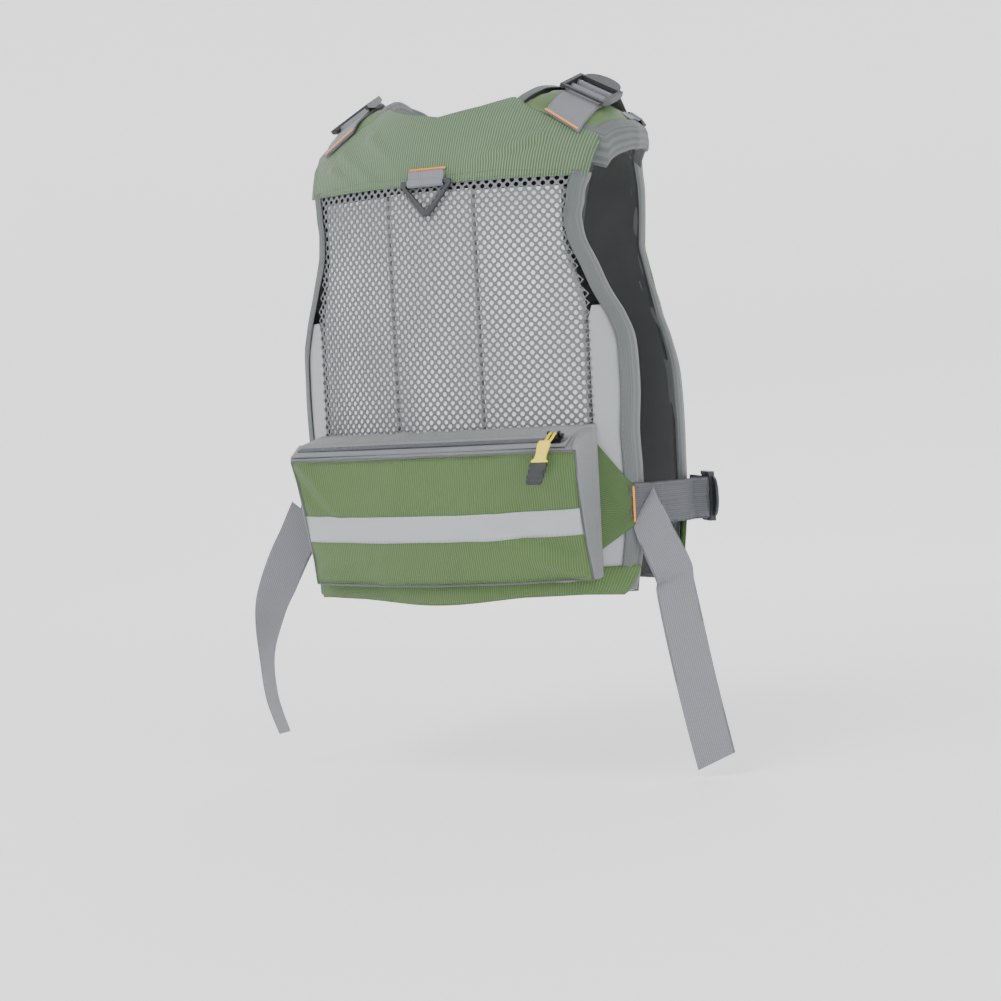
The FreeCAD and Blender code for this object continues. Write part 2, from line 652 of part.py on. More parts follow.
def pull(name, frame, bend, reach, drop):
    """Zip pull hooked on the slider's pin; frame is at the pin, local Y is the way it lies."""
    eye = tube(name + "_eye", "pin_radius + 0.05", "2.7", "6.6", frame)
    back = [("0.9", "1.2"), ("0.9", "-1.6"), (f"{reach}", "-1.6"), (f"{reach} + {drop} * cos({bend})",
            f"-1.6 - {drop} * sin({bend})"), (f"{reach} + {drop} * cos({bend}) + 3 * sin({bend})",
            f"-1.6 - {drop} * sin({bend}) + 3 * cos({bend})"), (f"{reach} + 2.4", "1.2")]
    if bend == "0":
        back = [("0.9", "1.2"), ("0.9", "-1.6"), (f"{reach} + {drop}", "-1.6"), (f"{reach} + {drop}", "1.2")]
    across = frame.multiply(Placement(Vector(-3.3, 0, 0), Rotation())).multiply(SIDEWAYS)
    normal = tuple(frame.Rotation.multVec(Vector(1, 0, 0)))
    strip = extrude(name + "_strip", outline(name, back, across), normal, "6.6")
    bore = rod(name + "_bore_through", "pin_radius + 0.05", "9", frame)
    return fuse(name, [eye, boolean("Cut", name + "_grip", strip, bore)])


def zip_line(name, frame, length):
    """Tape with the row of teeth standing on it; local X is the zip."""
    tape = centred(name + "_tape", length, "22", "tape", frame, 0.15)
    teeth = centred(name + "_teeth", length + " - 4", "teeth_width", "teeth_height", frame, 1.0)
    return fuse(name, [tape, teeth])


def make_pocket_zip():
    frame = zip_frame()
    node(zip_line("back_zip_line", frame, "zip_length"), "pocket_zip")
    parked = -size("zip_length") / 2 + 12
    node(slider("back_slider", frame.multiply(Placement(Vector(parked, 0, 0), Rotation()))), "pocket_slider")
    pin = frame.multiply(Placement(Vector(parked, 0, 8.4), Rotation()))
    node(pull("back_pull", pin, "75", "29", "30"), "pocket_pull")
    face, height = face_frame()
    strip = centred("reflective_slab", "2 * pocket_half - 3", "25", "0.6", face.multiply(
        Placement(Vector(0, 0.46 * height, 0), Rotation())), 0.1)
    node(strip, "reflective_strip")


# ---- front ----


def make_front():
    lining = [
        ("9", "1"), (w(0.86), "1"), (w(0.92), "60"), (w(0.92), "0.55 * shoulder_height"),
        (w(0.80), "0.74 * shoulder_height"), (w(0.70), "0.92 * shoulder_height"), (w(0.73), up("40")),
        (w(0.75), up("70")), (w(0.46), up("88")), (w(0.41), up("80")), (w(0.25), up("42")), ("9", up("22")),
    ]
    both_sides(panel("front_lining_panel", front_lining_layer, lining, -1), "front_lining")
    foam = [
        ("18", "8"), (w(0.82), "8"), (w(0.88), "64"), (w(0.88), "0.54 * shoulder_height"),
        (w(0.76), "0.73 * shoulder_height"), (w(0.66), "0.92 * shoulder_height"), (w(0.66), up("24")),
        (w(0.42), up("30")), (w(0.25), up("30")), ("18", up("12")),
    ]
    both_sides(panel("front_foam_panel", front_foam_layer, foam, -1), "front_foam")
    cover = [("9", "0")] + [(x, z) for x, z in lining[1:-1]] + [("9", up("23"))]
    cover[1] = (w(0.87), "0")
    both_sides(panel("front_cover_panel", front_cover_layer, cover, -1), "front_panel")
    pouch_layer = mirrored(extrude("pouch_band", back_band("pouch", "trim_in", "trim_in + 24"), (0, 0, -1),
                                   "shoulder_height"), "front_pouch_layer", (0, 1, 0))
    pouch = [("32", "62"), (w(0.76), "62"), (w(0.76), "200"), ("32", "200")]
    make_pouch_zip(panel("front_pouch", pouch_layer, pouch, -1))


def front_surface(x, offset):
    radius = size("back_radius") + offset
    return -(math.sqrt(radius**2 - x**2) - size("arc_depth"))


def upright_frame(x, offset, z):
    """Frame of an upright zip on the front: local X down, local Y across, local Z forward."""
    along = Rotation(Vector(0, 0, -1), Vector(1, 0, 0), Vector(0, -1, 0), "XYZ")
    return Placement(Vector(x, front_surface(abs(x), offset), z), along)


def make_pouch_zip(pouch):
    """Upright zip near the inner edge of a front pocket, on the left; the right one is its mirror."""
    across = 44
    outside = size("trim_in") + 24
    frame = upright_frame(across, outside - 0.25, 131)
    lean = math.degrees(math.asin(across / (size("back_radius") + outside)))
    frame = frame.multiply(Placement(Vector(), Rotation(Vector(1, 0, 0), -lean)))
    both_sides(fuse("front_pouch_whole", [pouch, zip_line("pouch_zip", frame, "126")]), "front_pocket")
    top = frame.multiply(Placement(Vector(-52, 0, 0), Rotation()))
    both_sides(slider("pouch_slider", top, -90), "front_slider")
    pin = top.multiply(Placement(Vector(0, 0, 8.4), Rotation(Vector(0, 0, 1), -90)))
    both_sides(pull("pouch_pull", pin, "0", "14", "20"), "front_pull")


def make_front_buckle():
    """Side release buckle at the hem: socket on the left strap, plug on the right one."""
    face = -(size("half_depth") + size("trim_in") + size("webbing") + 0.4)
    frame = Placement(Vector(0, face, 25), Rotation(Vector(1, 0, 0), 90))
    body = centred("socket_body", "30", "32", "10", frame.multiply(Placement(Vector(7, 0, 0), Rotation())))
    room = centred("socket_room", "25", "26.4", "6.4", frame.multiply(Placement(Vector(3, 0, 0), Rotation())), 1.8)
    side = centred("socket_windows", "9", "40", "5", frame.multiply(Placement(Vector(5, 0, 0), Rotation())), 2.5)
    slot = centred("socket_slot", "3", "26", "14", frame.multiply(Placement(Vector(19, 0, 0), Rotation())), -2)
    node(boolean("Cut", "socket", body, fuse("socket_gaps", [room, side, slot])), "front_buckle_socket")
    base = centred("plug_body", "13", "32", "9", frame.multiply(Placement(Vector(-15.2, 0, 0), Rotation())), 0.5)
    back_slot = centred("plug_slot", "3", "26", "14", frame.multiply(Placement(Vector(-18, 0, 0), Rotation())), -2)
    arms = [centred(f"plug_arm_{i}", "23", "5", "5.4", frame.multiply(
        Placement(Vector(2, shift, 0), Rotation())), 2.3) for i, shift in enumerate((-10.2, 10.2))]
    tongue = centred("plug_tongue", "20", "5", "4", frame.multiply(Placement(Vector(0, 0, 0), Rotation())), 3)
    node(fuse("plug", [boolean("Cut", "plug_base", base, back_slot), tongue] + arms), "front_buckle_plug")
    run = arc_band("hem_strap", ("0", "-arc_depth"), "back_radius + trim_in", "back_radius + trim_in + webbing",
                   "62", "87")
    run.Placement = Placement(Vector(0, 0, 12.5), Rotation())
    band = extrude("hem_strap_band", run, (0, 0, 1), "25")
    both_sides(mirrored(band, "hem_strap_front", (0, 1, 0)), "front_strap")


def make_gear_ring():
    """Small D ring on a webbing loop, on the outer edge of the right shoulder pad."""
    sketch = arc_band("gear", ("0", "-arc_depth"), "back_radius + mesh_out + 0.2",
                      "back_radius + mesh_out + 1.4", "126", "129.2")
    sketch.Placement = Placement(Vector(0, 0, size("shoulder_height")), Rotation())
    run = revolve("gear_run", sketch, "20")
    run.Placement = Placement(Vector(), Rotation(Vector(1, 0, 0), 82), Vector(0, 0, size("shoulder_height")))
    along = -0.843 * size("half_width")
    radius = size("back_radius") + size("mesh_out") + 3.4
    lean = math.asin(along / radius)
    reach = math.sqrt(radius**2 - along**2) - size("arc_depth")
    turn = math.radians(102)
    spot = Vector(along, reach * math.cos(turn), size("shoulder_height") + reach * math.sin(turn))
    rotation = Rotation(Vector(1, 0, 0), 12).multiply(Rotation(Vector(0, 1, 0), math.degrees(lean)))
    frame = Placement(spot, rotation)
    eye = tube("gear_eye", "1.9", "3.2", "13", frame)
    bore = rod("gear_bore", "1.9", "20", frame)
    node(fuse("gear_loop_whole", [eye, boolean("Cut", "gear_sewn", run, bore)]), "gear_ring_loop")
    half = [("9.5", "1.5"), ("9.5", "-9"), ("5.5", "-14"), ("-5.5", "-14"), ("-9.5", "-9"), ("-9.5", "1.5")]
    hole = [("6.8", "-1.5"), ("6.8", "-8"), ("4.2", "-11.2"), ("-4.2", "-11.2"), ("-6.8", "-8"), ("-6.8", "-1.5")]
    ring = moulded("gear_d", [half, hole], "3", "0.8")
    lie = Placement(Vector(), Rotation(Vector(1, 0, 0), -86))
    node(ring, "gear_ring", frame.multiply(lie))


def make_front_zips():
    middle = upright_frame(0, size("trim_in"), 212)
    node(centre_half("centre_zip_left_half", middle, 1), "center_zip_left")
    node(centre_half("centre_zip_right_half", middle, -1), "center_zip_right")
    top = upright_frame(0, size("trim_in"), size("shoulder_height") + 6)
    node(slider("centre_slider", top, -90), "center_slider")
    node(pull("centre_pull", top.multiply(Placement(Vector(0, 0, 8.4), Rotation(Vector(0, 0, 1), -90))),
              "0", "14", "20"), "center_pull")


def centre_half(name, frame, side):
    tape = centred(name + "_tape", "318", "15.5", "tape", frame.multiply(
        Placement(Vector(0, side * 8.05, 0), Rotation())), 0.15)
    teeth = centred(name + "_teeth", "312", "2.2", "teeth_height", frame.multiply(
        Placement(Vector(0, side * 1.4, 0), Rotation())), 1.0)
    return fuse(name, [tape, teeth])


make_back()
make_sides()
make_pads()
make_shoulders()
make_waist()
make_ring()
make_pocket()
make_pocket_zip()
make_front()
make_front_zips()
make_front_buckle()
make_gear_ring()

doc.recompute()
for feature in doc.Objects:
    problems = [state for state in feature.State if state in ("Invalid", "Error")]
    if problems:
        raise RuntimeError(f"{feature.Label}: {problems}")
for feature in sub_parts:
    shape = feature.Shape
    if shape.isNull() or not shape.isValid():
        raise RuntimeError(f"{feature.Label}: shape is not valid")
    shape.exportStep(f"parts/{feature.Label}.step")
print(f"{len(sub_parts)} sub-parts written")
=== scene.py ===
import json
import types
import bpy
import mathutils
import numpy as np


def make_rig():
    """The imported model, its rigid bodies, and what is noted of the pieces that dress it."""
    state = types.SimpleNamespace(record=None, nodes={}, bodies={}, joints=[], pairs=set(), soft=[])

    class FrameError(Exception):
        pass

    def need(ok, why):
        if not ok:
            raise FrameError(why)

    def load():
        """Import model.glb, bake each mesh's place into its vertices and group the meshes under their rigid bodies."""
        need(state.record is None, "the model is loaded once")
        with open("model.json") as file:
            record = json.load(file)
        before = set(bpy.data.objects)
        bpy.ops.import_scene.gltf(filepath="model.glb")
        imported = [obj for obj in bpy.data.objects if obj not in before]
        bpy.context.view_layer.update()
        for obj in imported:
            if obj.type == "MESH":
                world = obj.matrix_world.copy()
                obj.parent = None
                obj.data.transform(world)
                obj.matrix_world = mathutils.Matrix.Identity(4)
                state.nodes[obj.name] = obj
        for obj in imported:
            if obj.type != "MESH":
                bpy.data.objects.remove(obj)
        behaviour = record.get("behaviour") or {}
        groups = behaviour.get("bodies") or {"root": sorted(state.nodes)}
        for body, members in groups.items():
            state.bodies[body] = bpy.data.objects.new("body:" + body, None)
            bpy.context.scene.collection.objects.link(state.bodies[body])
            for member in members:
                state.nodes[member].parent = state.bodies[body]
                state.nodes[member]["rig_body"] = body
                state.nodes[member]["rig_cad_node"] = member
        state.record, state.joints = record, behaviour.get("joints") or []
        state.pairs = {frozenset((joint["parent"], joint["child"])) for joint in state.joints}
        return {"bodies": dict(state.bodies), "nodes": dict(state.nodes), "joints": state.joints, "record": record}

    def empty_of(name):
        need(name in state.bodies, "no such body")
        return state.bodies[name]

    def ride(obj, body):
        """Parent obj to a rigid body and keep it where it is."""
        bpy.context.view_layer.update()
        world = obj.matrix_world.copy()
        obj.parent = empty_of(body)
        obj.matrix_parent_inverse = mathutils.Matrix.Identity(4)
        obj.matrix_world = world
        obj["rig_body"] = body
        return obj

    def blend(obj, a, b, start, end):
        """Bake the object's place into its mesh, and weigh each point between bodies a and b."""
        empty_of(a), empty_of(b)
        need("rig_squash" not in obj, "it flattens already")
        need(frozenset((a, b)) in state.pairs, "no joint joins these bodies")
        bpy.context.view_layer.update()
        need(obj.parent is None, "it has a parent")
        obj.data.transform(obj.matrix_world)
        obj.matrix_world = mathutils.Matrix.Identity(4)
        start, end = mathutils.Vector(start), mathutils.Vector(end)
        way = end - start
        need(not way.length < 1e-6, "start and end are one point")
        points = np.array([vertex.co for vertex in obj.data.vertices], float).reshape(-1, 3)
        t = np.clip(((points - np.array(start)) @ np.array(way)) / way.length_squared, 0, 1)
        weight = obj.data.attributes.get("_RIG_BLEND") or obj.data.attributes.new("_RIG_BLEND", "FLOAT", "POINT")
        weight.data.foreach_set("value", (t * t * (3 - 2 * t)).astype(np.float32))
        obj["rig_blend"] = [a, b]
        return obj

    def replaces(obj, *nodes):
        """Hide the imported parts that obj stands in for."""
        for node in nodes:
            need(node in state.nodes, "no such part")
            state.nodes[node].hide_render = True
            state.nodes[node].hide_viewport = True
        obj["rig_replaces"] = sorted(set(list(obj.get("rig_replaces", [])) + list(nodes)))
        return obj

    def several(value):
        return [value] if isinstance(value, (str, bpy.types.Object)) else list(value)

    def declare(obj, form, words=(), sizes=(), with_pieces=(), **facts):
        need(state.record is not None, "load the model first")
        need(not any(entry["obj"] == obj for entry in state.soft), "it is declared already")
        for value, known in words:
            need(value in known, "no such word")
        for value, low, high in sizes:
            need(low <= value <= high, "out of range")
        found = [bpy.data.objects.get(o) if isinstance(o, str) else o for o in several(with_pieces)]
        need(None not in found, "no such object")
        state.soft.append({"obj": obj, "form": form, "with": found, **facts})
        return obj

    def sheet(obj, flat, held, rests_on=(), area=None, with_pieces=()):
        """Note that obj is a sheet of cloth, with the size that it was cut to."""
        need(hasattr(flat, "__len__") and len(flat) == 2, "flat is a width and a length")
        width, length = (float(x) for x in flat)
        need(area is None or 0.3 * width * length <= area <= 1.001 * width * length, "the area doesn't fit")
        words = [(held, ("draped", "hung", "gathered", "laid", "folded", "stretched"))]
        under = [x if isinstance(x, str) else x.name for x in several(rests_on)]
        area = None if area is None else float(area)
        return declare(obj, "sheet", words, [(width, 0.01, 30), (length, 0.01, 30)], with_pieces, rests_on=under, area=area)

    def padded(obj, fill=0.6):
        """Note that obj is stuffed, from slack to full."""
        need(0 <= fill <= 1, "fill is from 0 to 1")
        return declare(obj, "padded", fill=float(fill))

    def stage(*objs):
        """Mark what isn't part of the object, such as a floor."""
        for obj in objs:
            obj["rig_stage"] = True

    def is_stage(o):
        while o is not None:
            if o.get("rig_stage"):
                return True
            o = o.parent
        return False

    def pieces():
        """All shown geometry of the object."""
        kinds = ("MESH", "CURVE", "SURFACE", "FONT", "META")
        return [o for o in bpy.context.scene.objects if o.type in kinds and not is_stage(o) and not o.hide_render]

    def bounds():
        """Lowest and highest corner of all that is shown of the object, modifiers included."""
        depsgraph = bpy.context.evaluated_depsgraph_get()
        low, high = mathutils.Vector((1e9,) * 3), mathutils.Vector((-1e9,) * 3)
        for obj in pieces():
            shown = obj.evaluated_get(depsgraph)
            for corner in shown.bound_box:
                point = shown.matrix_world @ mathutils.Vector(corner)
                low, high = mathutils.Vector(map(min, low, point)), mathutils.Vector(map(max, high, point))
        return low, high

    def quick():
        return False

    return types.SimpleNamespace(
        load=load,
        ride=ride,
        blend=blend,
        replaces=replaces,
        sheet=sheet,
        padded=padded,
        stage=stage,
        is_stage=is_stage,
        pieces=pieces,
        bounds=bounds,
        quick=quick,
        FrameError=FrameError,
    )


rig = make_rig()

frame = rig.load()

import bmesh
import bpy
import json
import math
from mathutils import Matrix, Vector, noise

cad_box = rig.bounds()

# ---- Back foam ----
# Three closed-cell foam slabs float the wearer's back. They are white, cut from 14 mm sheet,
# and lie loose in channels between the lining and the net.

SHOULDER = 0.357
BACK_CURVE = 0.24
CURVE_SETBACK = 0.12


def reach(x, out):
    """Distance from the shoulder axis to the layer that lies out metres off the body."""
    return math.sqrt((BACK_CURVE + out) ** 2 - x * x) - CURVE_SETBACK


def on_body(x, z, out, side=1):
    """Point at height z on the back (side 1) or the front (side -1)."""
    rise = max(z - SHOULDER, 0)
    return Vector((x, side * math.sqrt(max(reach(x, out) ** 2 - rise * rise, 0)), z))


def share_of(value, low, high):
    return min(max((value - low) / (high - low), 0), 1)


def along(corners, value):
    """Second number of an outline's corners where their first number is the value."""
    for (low, start), (high, end) in zip(corners, corners[1:]):
        if value <= high:
            return start + (end - start) * share_of(value, low, high)
    return corners[-1][1]


def cloth_grid(columns, rows, place, width, length):
    """Grid of cloth, each corner moved to place(u, v); its map is in metres."""
    cloth = bmesh.new()
    cloth.loops.layers.uv.new("UVMap")
    bmesh.ops.create_grid(cloth, x_segments=columns, y_segments=rows, size=0.5, calc_uvs=True)
    uv = cloth.loops.layers.uv.active
    for face in cloth.faces:
        for loop in face.loops:
            loop[uv].uv = (loop[uv].uv.x * width, loop[uv].uv.y * length)
    for vert in cloth.verts:
        vert.co = place(vert.co.x + 0.5, vert.co.y + 0.5)
    return cloth


def make(name, shape, finish, body="vest", stands_for=(), wall=0.0, outward=None, angle=None):
    """Turn a bmesh into a piece that rides on a body; a wall is added inwards."""
    if outward is not None:
        shape.normal_update()
        middle = sum((f.normal.dot(f.calc_center_median() - Vector(outward)) for f in shape.faces))
        if middle < 0:
            bmesh.ops.reverse_faces(shape, faces=shape.faces)
    mesh = bpy.data.meshes.new(name)
    shape.to_mesh(mesh)
    shape.free()
    piece = bpy.data.objects.new(name, mesh)
    bpy.context.scene.collection.objects.link(piece)
    mesh.materials.append(finish)
    mesh.shade_smooth()
    if wall:
        shell = piece.modifiers.new("wall", "SOLIDIFY")
        shell.thickness = wall
        shell.offset = -1
    if angle:
        mesh.set_sharp_from_angle(angle=math.radians(angle))
    if body:
        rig.ride(piece, body)
    if stands_for:
        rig.replaces(piece, *stands_for)
    return piece


def add(tree, kind, *feeds, **settings):
    """Put a node in a tree; each feed is linked or set on the node's inputs in order."""
    made = tree.nodes.new("ShaderNode" + kind)
    for key, value in settings.items():
        setattr(made, key, value)
    for socket, feed in zip(made.inputs, feeds):
        if isinstance(feed, bpy.types.NodeSocket):
            tree.links.new(feed, socket)
        elif feed is not None:
            socket.default_value = feed
    return made


def calc(tree, operation, *feeds):
    return add(tree, "Math", *feeds, operation=operation).outputs[0]


def mixed(tree, share, first, second):
    """Colour between first and second."""
    made = add(tree, "Mix", share, data_type="RGBA")
    for socket, feed in ((made.inputs[6], first), (made.inputs[7], second)):
        if isinstance(feed, bpy.types.NodeSocket):
            tree.links.new(feed, socket)
        else:
            socket.default_value = feed
    return made.outputs[2]


def colour(red, green, blue):
    """Linear colour from a paint chip's 0 to 255 numbers."""
    return tuple(((c / 255 + 0.055) / 1.055) ** 2.4 for c in (red, green, blue)) + (1,)


def effect(name, inputs, outputs):
    """Empty shader group with named inputs and outputs."""
    group = bpy.data.node_groups.new(name, "ShaderNodeTree")
    for label, kind, value in inputs:
        socket = group.interface.new_socket(label, in_out="INPUT", socket_type="NodeSocket" + kind)
        if value is not None:
            socket.default_value = value
    for label, kind in outputs:
        group.interface.new_socket(label, in_out="OUTPUT", socket_type="NodeSocket" + kind)
    return group, group.nodes.new("NodeGroupInput"), group.nodes.new("NodeGroupOutput")


def place_effect(tree, group, *feeds):
    made = add(tree, "Group", node_tree=group)
    for socket, feed in zip(made.inputs, feeds):
        if isinstance(feed, bpy.types.NodeSocket):
            tree.links.new(feed, socket)
        elif feed is not None:
            socket.default_value = feed
    return made.outputs


def wear_effect():
    """Handling marks: a colour that is a little lighter and darker in soft patches."""
    group, given, result = effect("handled", [("Color", "Color", None), ("Vector", "Vector", None),
                                              ("Patch", "Float", 30.0), ("Amount", "Float", 0.25)],
                                  [("Color", "Color"), ("Mask", "Float")])
    patch = add(group, "TexNoise", given.outputs["Vector"], None, given.outputs["Patch"], 4.0, 0.6)
    dust = add(group, "TexNoise", given.outputs["Vector"], None, 900.0, 2.0, 0.5)
    soft = calc(group, "MULTIPLY", patch.outputs[0], 0.65)
    both = calc(group, "MULTIPLY_ADD", dust.outputs[0], 0.35, soft)
    swing = calc(group, "MULTIPLY", calc(group, "SUBTRACT", both, 0.5), given.outputs["Amount"])
    value = calc(group, "ADD", swing, 1.0)
    hsv = add(group, "HueSaturation", None, None, value, None, given.outputs["Color"])
    group.links.new(hsv.outputs[0], result.inputs[0])
    group.links.new(both, result.inputs[1])
    return group


handled = wear_effect()


def plain(name, tone, rough, patch=30.0, amount=0.25, grain=900.0, depth=0.0002, metal=0.0):
    """Material with handling marks and a fine grain, on the piece's own place."""
    material = bpy.data.materials.new(name)
    material.use_nodes = True
    tree = material.node_tree
    shader = tree.nodes["Principled BSDF"]
    place = add(tree, "TexCoord").outputs["Object"]
    outs = place_effect(tree, handled, tone, place, patch, amount)
    tree.links.new(outs[0], shader.inputs["Base Color"])
    speck = add(tree, "TexNoise", place, None, grain, 3.0, 0.6)
    bump = add(tree, "Bump", 0.5, depth)
    tree.links.new(speck.outputs[0], bump.inputs["Height"])
    tree.links.new(bump.outputs[0], shader.inputs["Normal"])
    spread = calc(tree, "MULTIPLY_ADD", outs[1], 0.25, rough - 0.12)
    tree.links.new(spread, shader.inputs["Roughness"])
    shader.inputs["Metallic"].default_value = metal
    return material


foam_white = plain("white_foam", colour(238, 239, 240), 0.85, 60.0, 0.10, 1400.0, 0.0003)


def slab(left, right, low, high, inner, outer, side=1):
    """Foam slab bent to the body, between two heights and two distances out."""
    foam = bmesh.new()
    bmesh.ops.create_cube(foam, size=1)
    bmesh.ops.subdivide_edges(foam, edges=foam.edges, cuts=21, use_grid_fill=True)
    for vert in foam.verts:
        u, v, w = (c + 0.5 for c in vert.co)
        z = low + (high - low) * v
        ends = [edge(z) if callable(edge) else edge for edge in (left, right)]
        x = ends[0] + (ends[1] - ends[0]) * u
        belly = 0.0012 * math.sin(math.pi * u) * math.sin(math.pi * v)
        vert.co = on_body(x, z, inner + (outer - inner) * w + belly * max(w - 0.5, 0), side)
    bmesh.ops.recalc_face_normals(foam, faces=foam.faces)
    return foam


def eased(piece, width, parts=3):
    bevel = piece.modifiers.new("eased", "BEVEL")
    bevel.width = width
    bevel.segments = parts
    bevel.limit_method = "ANGLE"
    bevel.angle_limit = math.radians(40)
    return piece


FOAM_SIDE = [(0.0, 0.1318), (0.264, 0.1318), (0.321, 0.119), (0.4, 0.119)]
middle = make("foam_back_center", slab(-0.041, 0.041, 0.006, 0.378, 0.0012, 0.0148), foam_white,
              stands_for=["back_foam_center"])
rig.padded(eased(middle, 0.003), 0.9)
for hand, way in (("left", 1), ("right", -1)):
    outer = lambda z, way=way: way * along(FOAM_SIDE, z)
    foam_slab = make(f"foam_back_{hand}", slab(way * 0.045, outer, 0.006, 0.376, 0.0012, 0.015), foam_white,
                     stands_for=[f"back_foam_{hand}"], outward=(0, 0, 0.2))
    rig.padded(eased(foam_slab, 0.003), 0.9)
collar = make("foam_neck", slab(-0.06, 0.06, 0.385, 0.446, 0.0014, 0.0148), foam_white,
              stands_for=["neck_foam"])
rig.padded(eased(collar, 0.003), 0.9)

# ---- Back lining ----
# One dark woven panel carries the whole back. It is cut from plain polyester and every other
# back layer is sewn to it.


def weave_effect():
    """Plain weave: threads that pass over and under each other, pitch apart on the map."""
    group, given, result = effect("weave", [("Vector", "Vector", None), ("Pitch", "Float", 0.0006)],
                                  [("Height", "Float")])
    parts = add(group, "SeparateXYZ", given.outputs["Vector"])
    turn = calc(group, "DIVIDE", 2 * math.pi, given.outputs["Pitch"])
    waves = [calc(group, "SINE", calc(group, "MULTIPLY", parts.outputs[i], turn)) for i in (0, 1)]
    height = calc(group, "MULTIPLY_ADD", calc(group, "MULTIPLY", *waves), 0.5, 0.5)
    group.links.new(height, result.inputs[0])
    return group


def line_effect():
    """Raised lines at equal steps across the map: 0 between them, 1 on them."""
    group, given, result = effect("lines", [("Vector", "Vector", None), ("Step", "Float", 0.002),
                                            ("Width", "Float", 0.3), ("Soft", "Float", 0.15)],
                                  [("Mask", "Float")])
    across = add(group, "SeparateXYZ", given.outputs["Vector"]).outputs[0]
    place = calc(group, "FRACT", calc(group, "DIVIDE", across, given.outputs["Step"]))
    far = calc(group, "ABSOLUTE", calc(group, "SUBTRACT", place, 0.5))
    half = calc(group, "MULTIPLY", given.outputs["Width"], 0.5)
    edge = calc(group, "SUBTRACT", half, far)
    mask = add(group, "Clamp", calc(group, "ADD", calc(group, "DIVIDE", edge, given.outputs["Soft"]), 0.5))
    group.links.new(mask.outputs[0], result.inputs[0])
    return group


weave = weave_effect()
lines = line_effect()


def fabric(name, tone, line_tone=None, step=0.002, width=0.3, pitch=0.0007, depth=0.0002, rough=0.6,
           ribs=0.0, sheen=0.25, patch=18.0, amount=0.25):
    """Woven cloth on its own map: threads, optional coloured lines or raised ribs, handling marks."""
    material = bpy.data.materials.new(name)
    material.use_nodes = True
    tree = material.node_tree
    shader = tree.nodes["Principled BSDF"]
    source = add(tree, "TexCoord")
    woven = place_effect(tree, weave, source.outputs["UV"], pitch)[0]
    marked = place_effect(tree, handled, tone, source.outputs["Object"], patch, amount)
    shade = mixed(tree, calc(tree, "MULTIPLY", woven, 0.35), marked[0],
                  tuple(c * 0.55 for c in tone[:3]) + (1,))
    height = calc(tree, "MULTIPLY", woven, depth)
    if line_tone or ribs:
        line = place_effect(tree, lines, source.outputs["UV"], step, width, 0.3 if ribs else 0.15)[0]
        shade = mixed(tree, calc(tree, "MULTIPLY", line, 0.55 if ribs else 0.8), shade, line_tone)
        height = calc(tree, "MULTIPLY_ADD", line, ribs or depth, height)
    tree.links.new(shade, shader.inputs["Base Color"])
    bump = add(tree, "Bump", 1.0, 1.0)
    tree.links.new(height, bump.inputs["Height"])
    tree.links.new(bump.outputs[0], shader.inputs["Normal"])
    tree.links.new(calc(tree, "MULTIPLY_ADD", marked[1], 0.3, rough - 0.15), shader.inputs["Roughness"])
    shader.inputs["Sheen Weight"].default_value = sheen
    shader.inputs["Sheen Roughness"].default_value = 0.5
    return material


lining_cloth = fabric("lining_cloth", colour(42, 43, 45), pitch=0.0008, rough=0.8)
LINING_SIDE = [(0.001, 0.160), (0.06, 0.1665), (0.232, 0.1665), (0.271, 0.153), (0.328, 0.1296),
               (0.393, 0.1386),
               (0.407, 0.1415), (0.429, 0.1188), (0.449, 0.0828), (0.463, 0.0648)]


def lining_place(u, v):
    z = 0.001 + 0.462 * v
    half = along(LINING_SIDE, z)
    x = half * (2 * u - 1)
    dip = 0.016 * share_of(v, 0.9, 1) * (1 - (x / half) ** 2)
    return on_body(x, z - dip, 0.001)


make("lining_back", cloth_grid(40, 60, lining_place, 0.33, 0.462), lining_cloth,
              stands_for=["back_lining"], wall=0.0009, outward=(0, 0, 0.2))

# ---- Back net ----
# Open warp-knit net holds the slabs in place and lets water out. It is one grey polyester sheet
# with staggered oval holes, sewn in under the yoke and the armhole tapes.

NET_ACROSS = 0.00375
NET_UP = 0.00425
NET_SIDE = [(0.0, 0.1377), (0.239, 0.1377), (0.268, 0.138), (0.318, 0.126), (0.346, 0.1242), (0.394, 0.135),
            (0.41, 0.137)]
NET_LOW, NET_HIGH = 0.128, 0.4
net_grey = plain("mesh_net", colour(104, 106, 110), 0.75, 25.0, 0.25, 2600.0, 0.0003)
net = bmesh.new()
bmesh.ops.create_grid(net, x_segments=78, y_segments=78, size=39)
for vert in net.verts:
    a, b = vert.co.x, vert.co.y
    vert.co = ((a - b) * NET_ACROSS, 0, 0.264 + (a + b) * NET_UP)
outside = [f for f in net.faces if not NET_LOW < f.calc_center_median().z < NET_HIGH
           or abs(f.calc_center_median().x) > along(NET_SIDE, f.calc_center_median().z)]
bmesh.ops.delete(net, geom=outside, context="FACES")
cells = net.faces[:]
bmesh.ops.inset_individual(net, faces=cells, thickness=0.00082, use_even_offset=True)
corners = list({v for f in cells for v in f.verts})
bmesh.ops.bevel(net, geom=corners, offset=0.0016, offset_type="OFFSET", segments=2, profile=0.5,
                           affect="VERTICES", material=-1)
holes = [f for f in net.faces if len(f.verts) == 12]
bmesh.ops.delete(net, geom=holes, context="FACES_ONLY")
for vert in net.verts:
    x, z = vert.co.x, vert.co.z
    loose = 0.0012 * (0.5 + 0.5 * noise.noise(Vector((x * 28, 0.3, z * 11))))
    vert.co = on_body(x, z, 0.0159 + loose)
make("net_back", net, net_grey, stands_for=["back_mesh"], wall=0.0006, outward=(0, 0, 0.2))


def net_foot_place(u, v):
    return on_body(0.1377 * (2 * u - 1), 0.002 + 0.128 * v, 0.016)


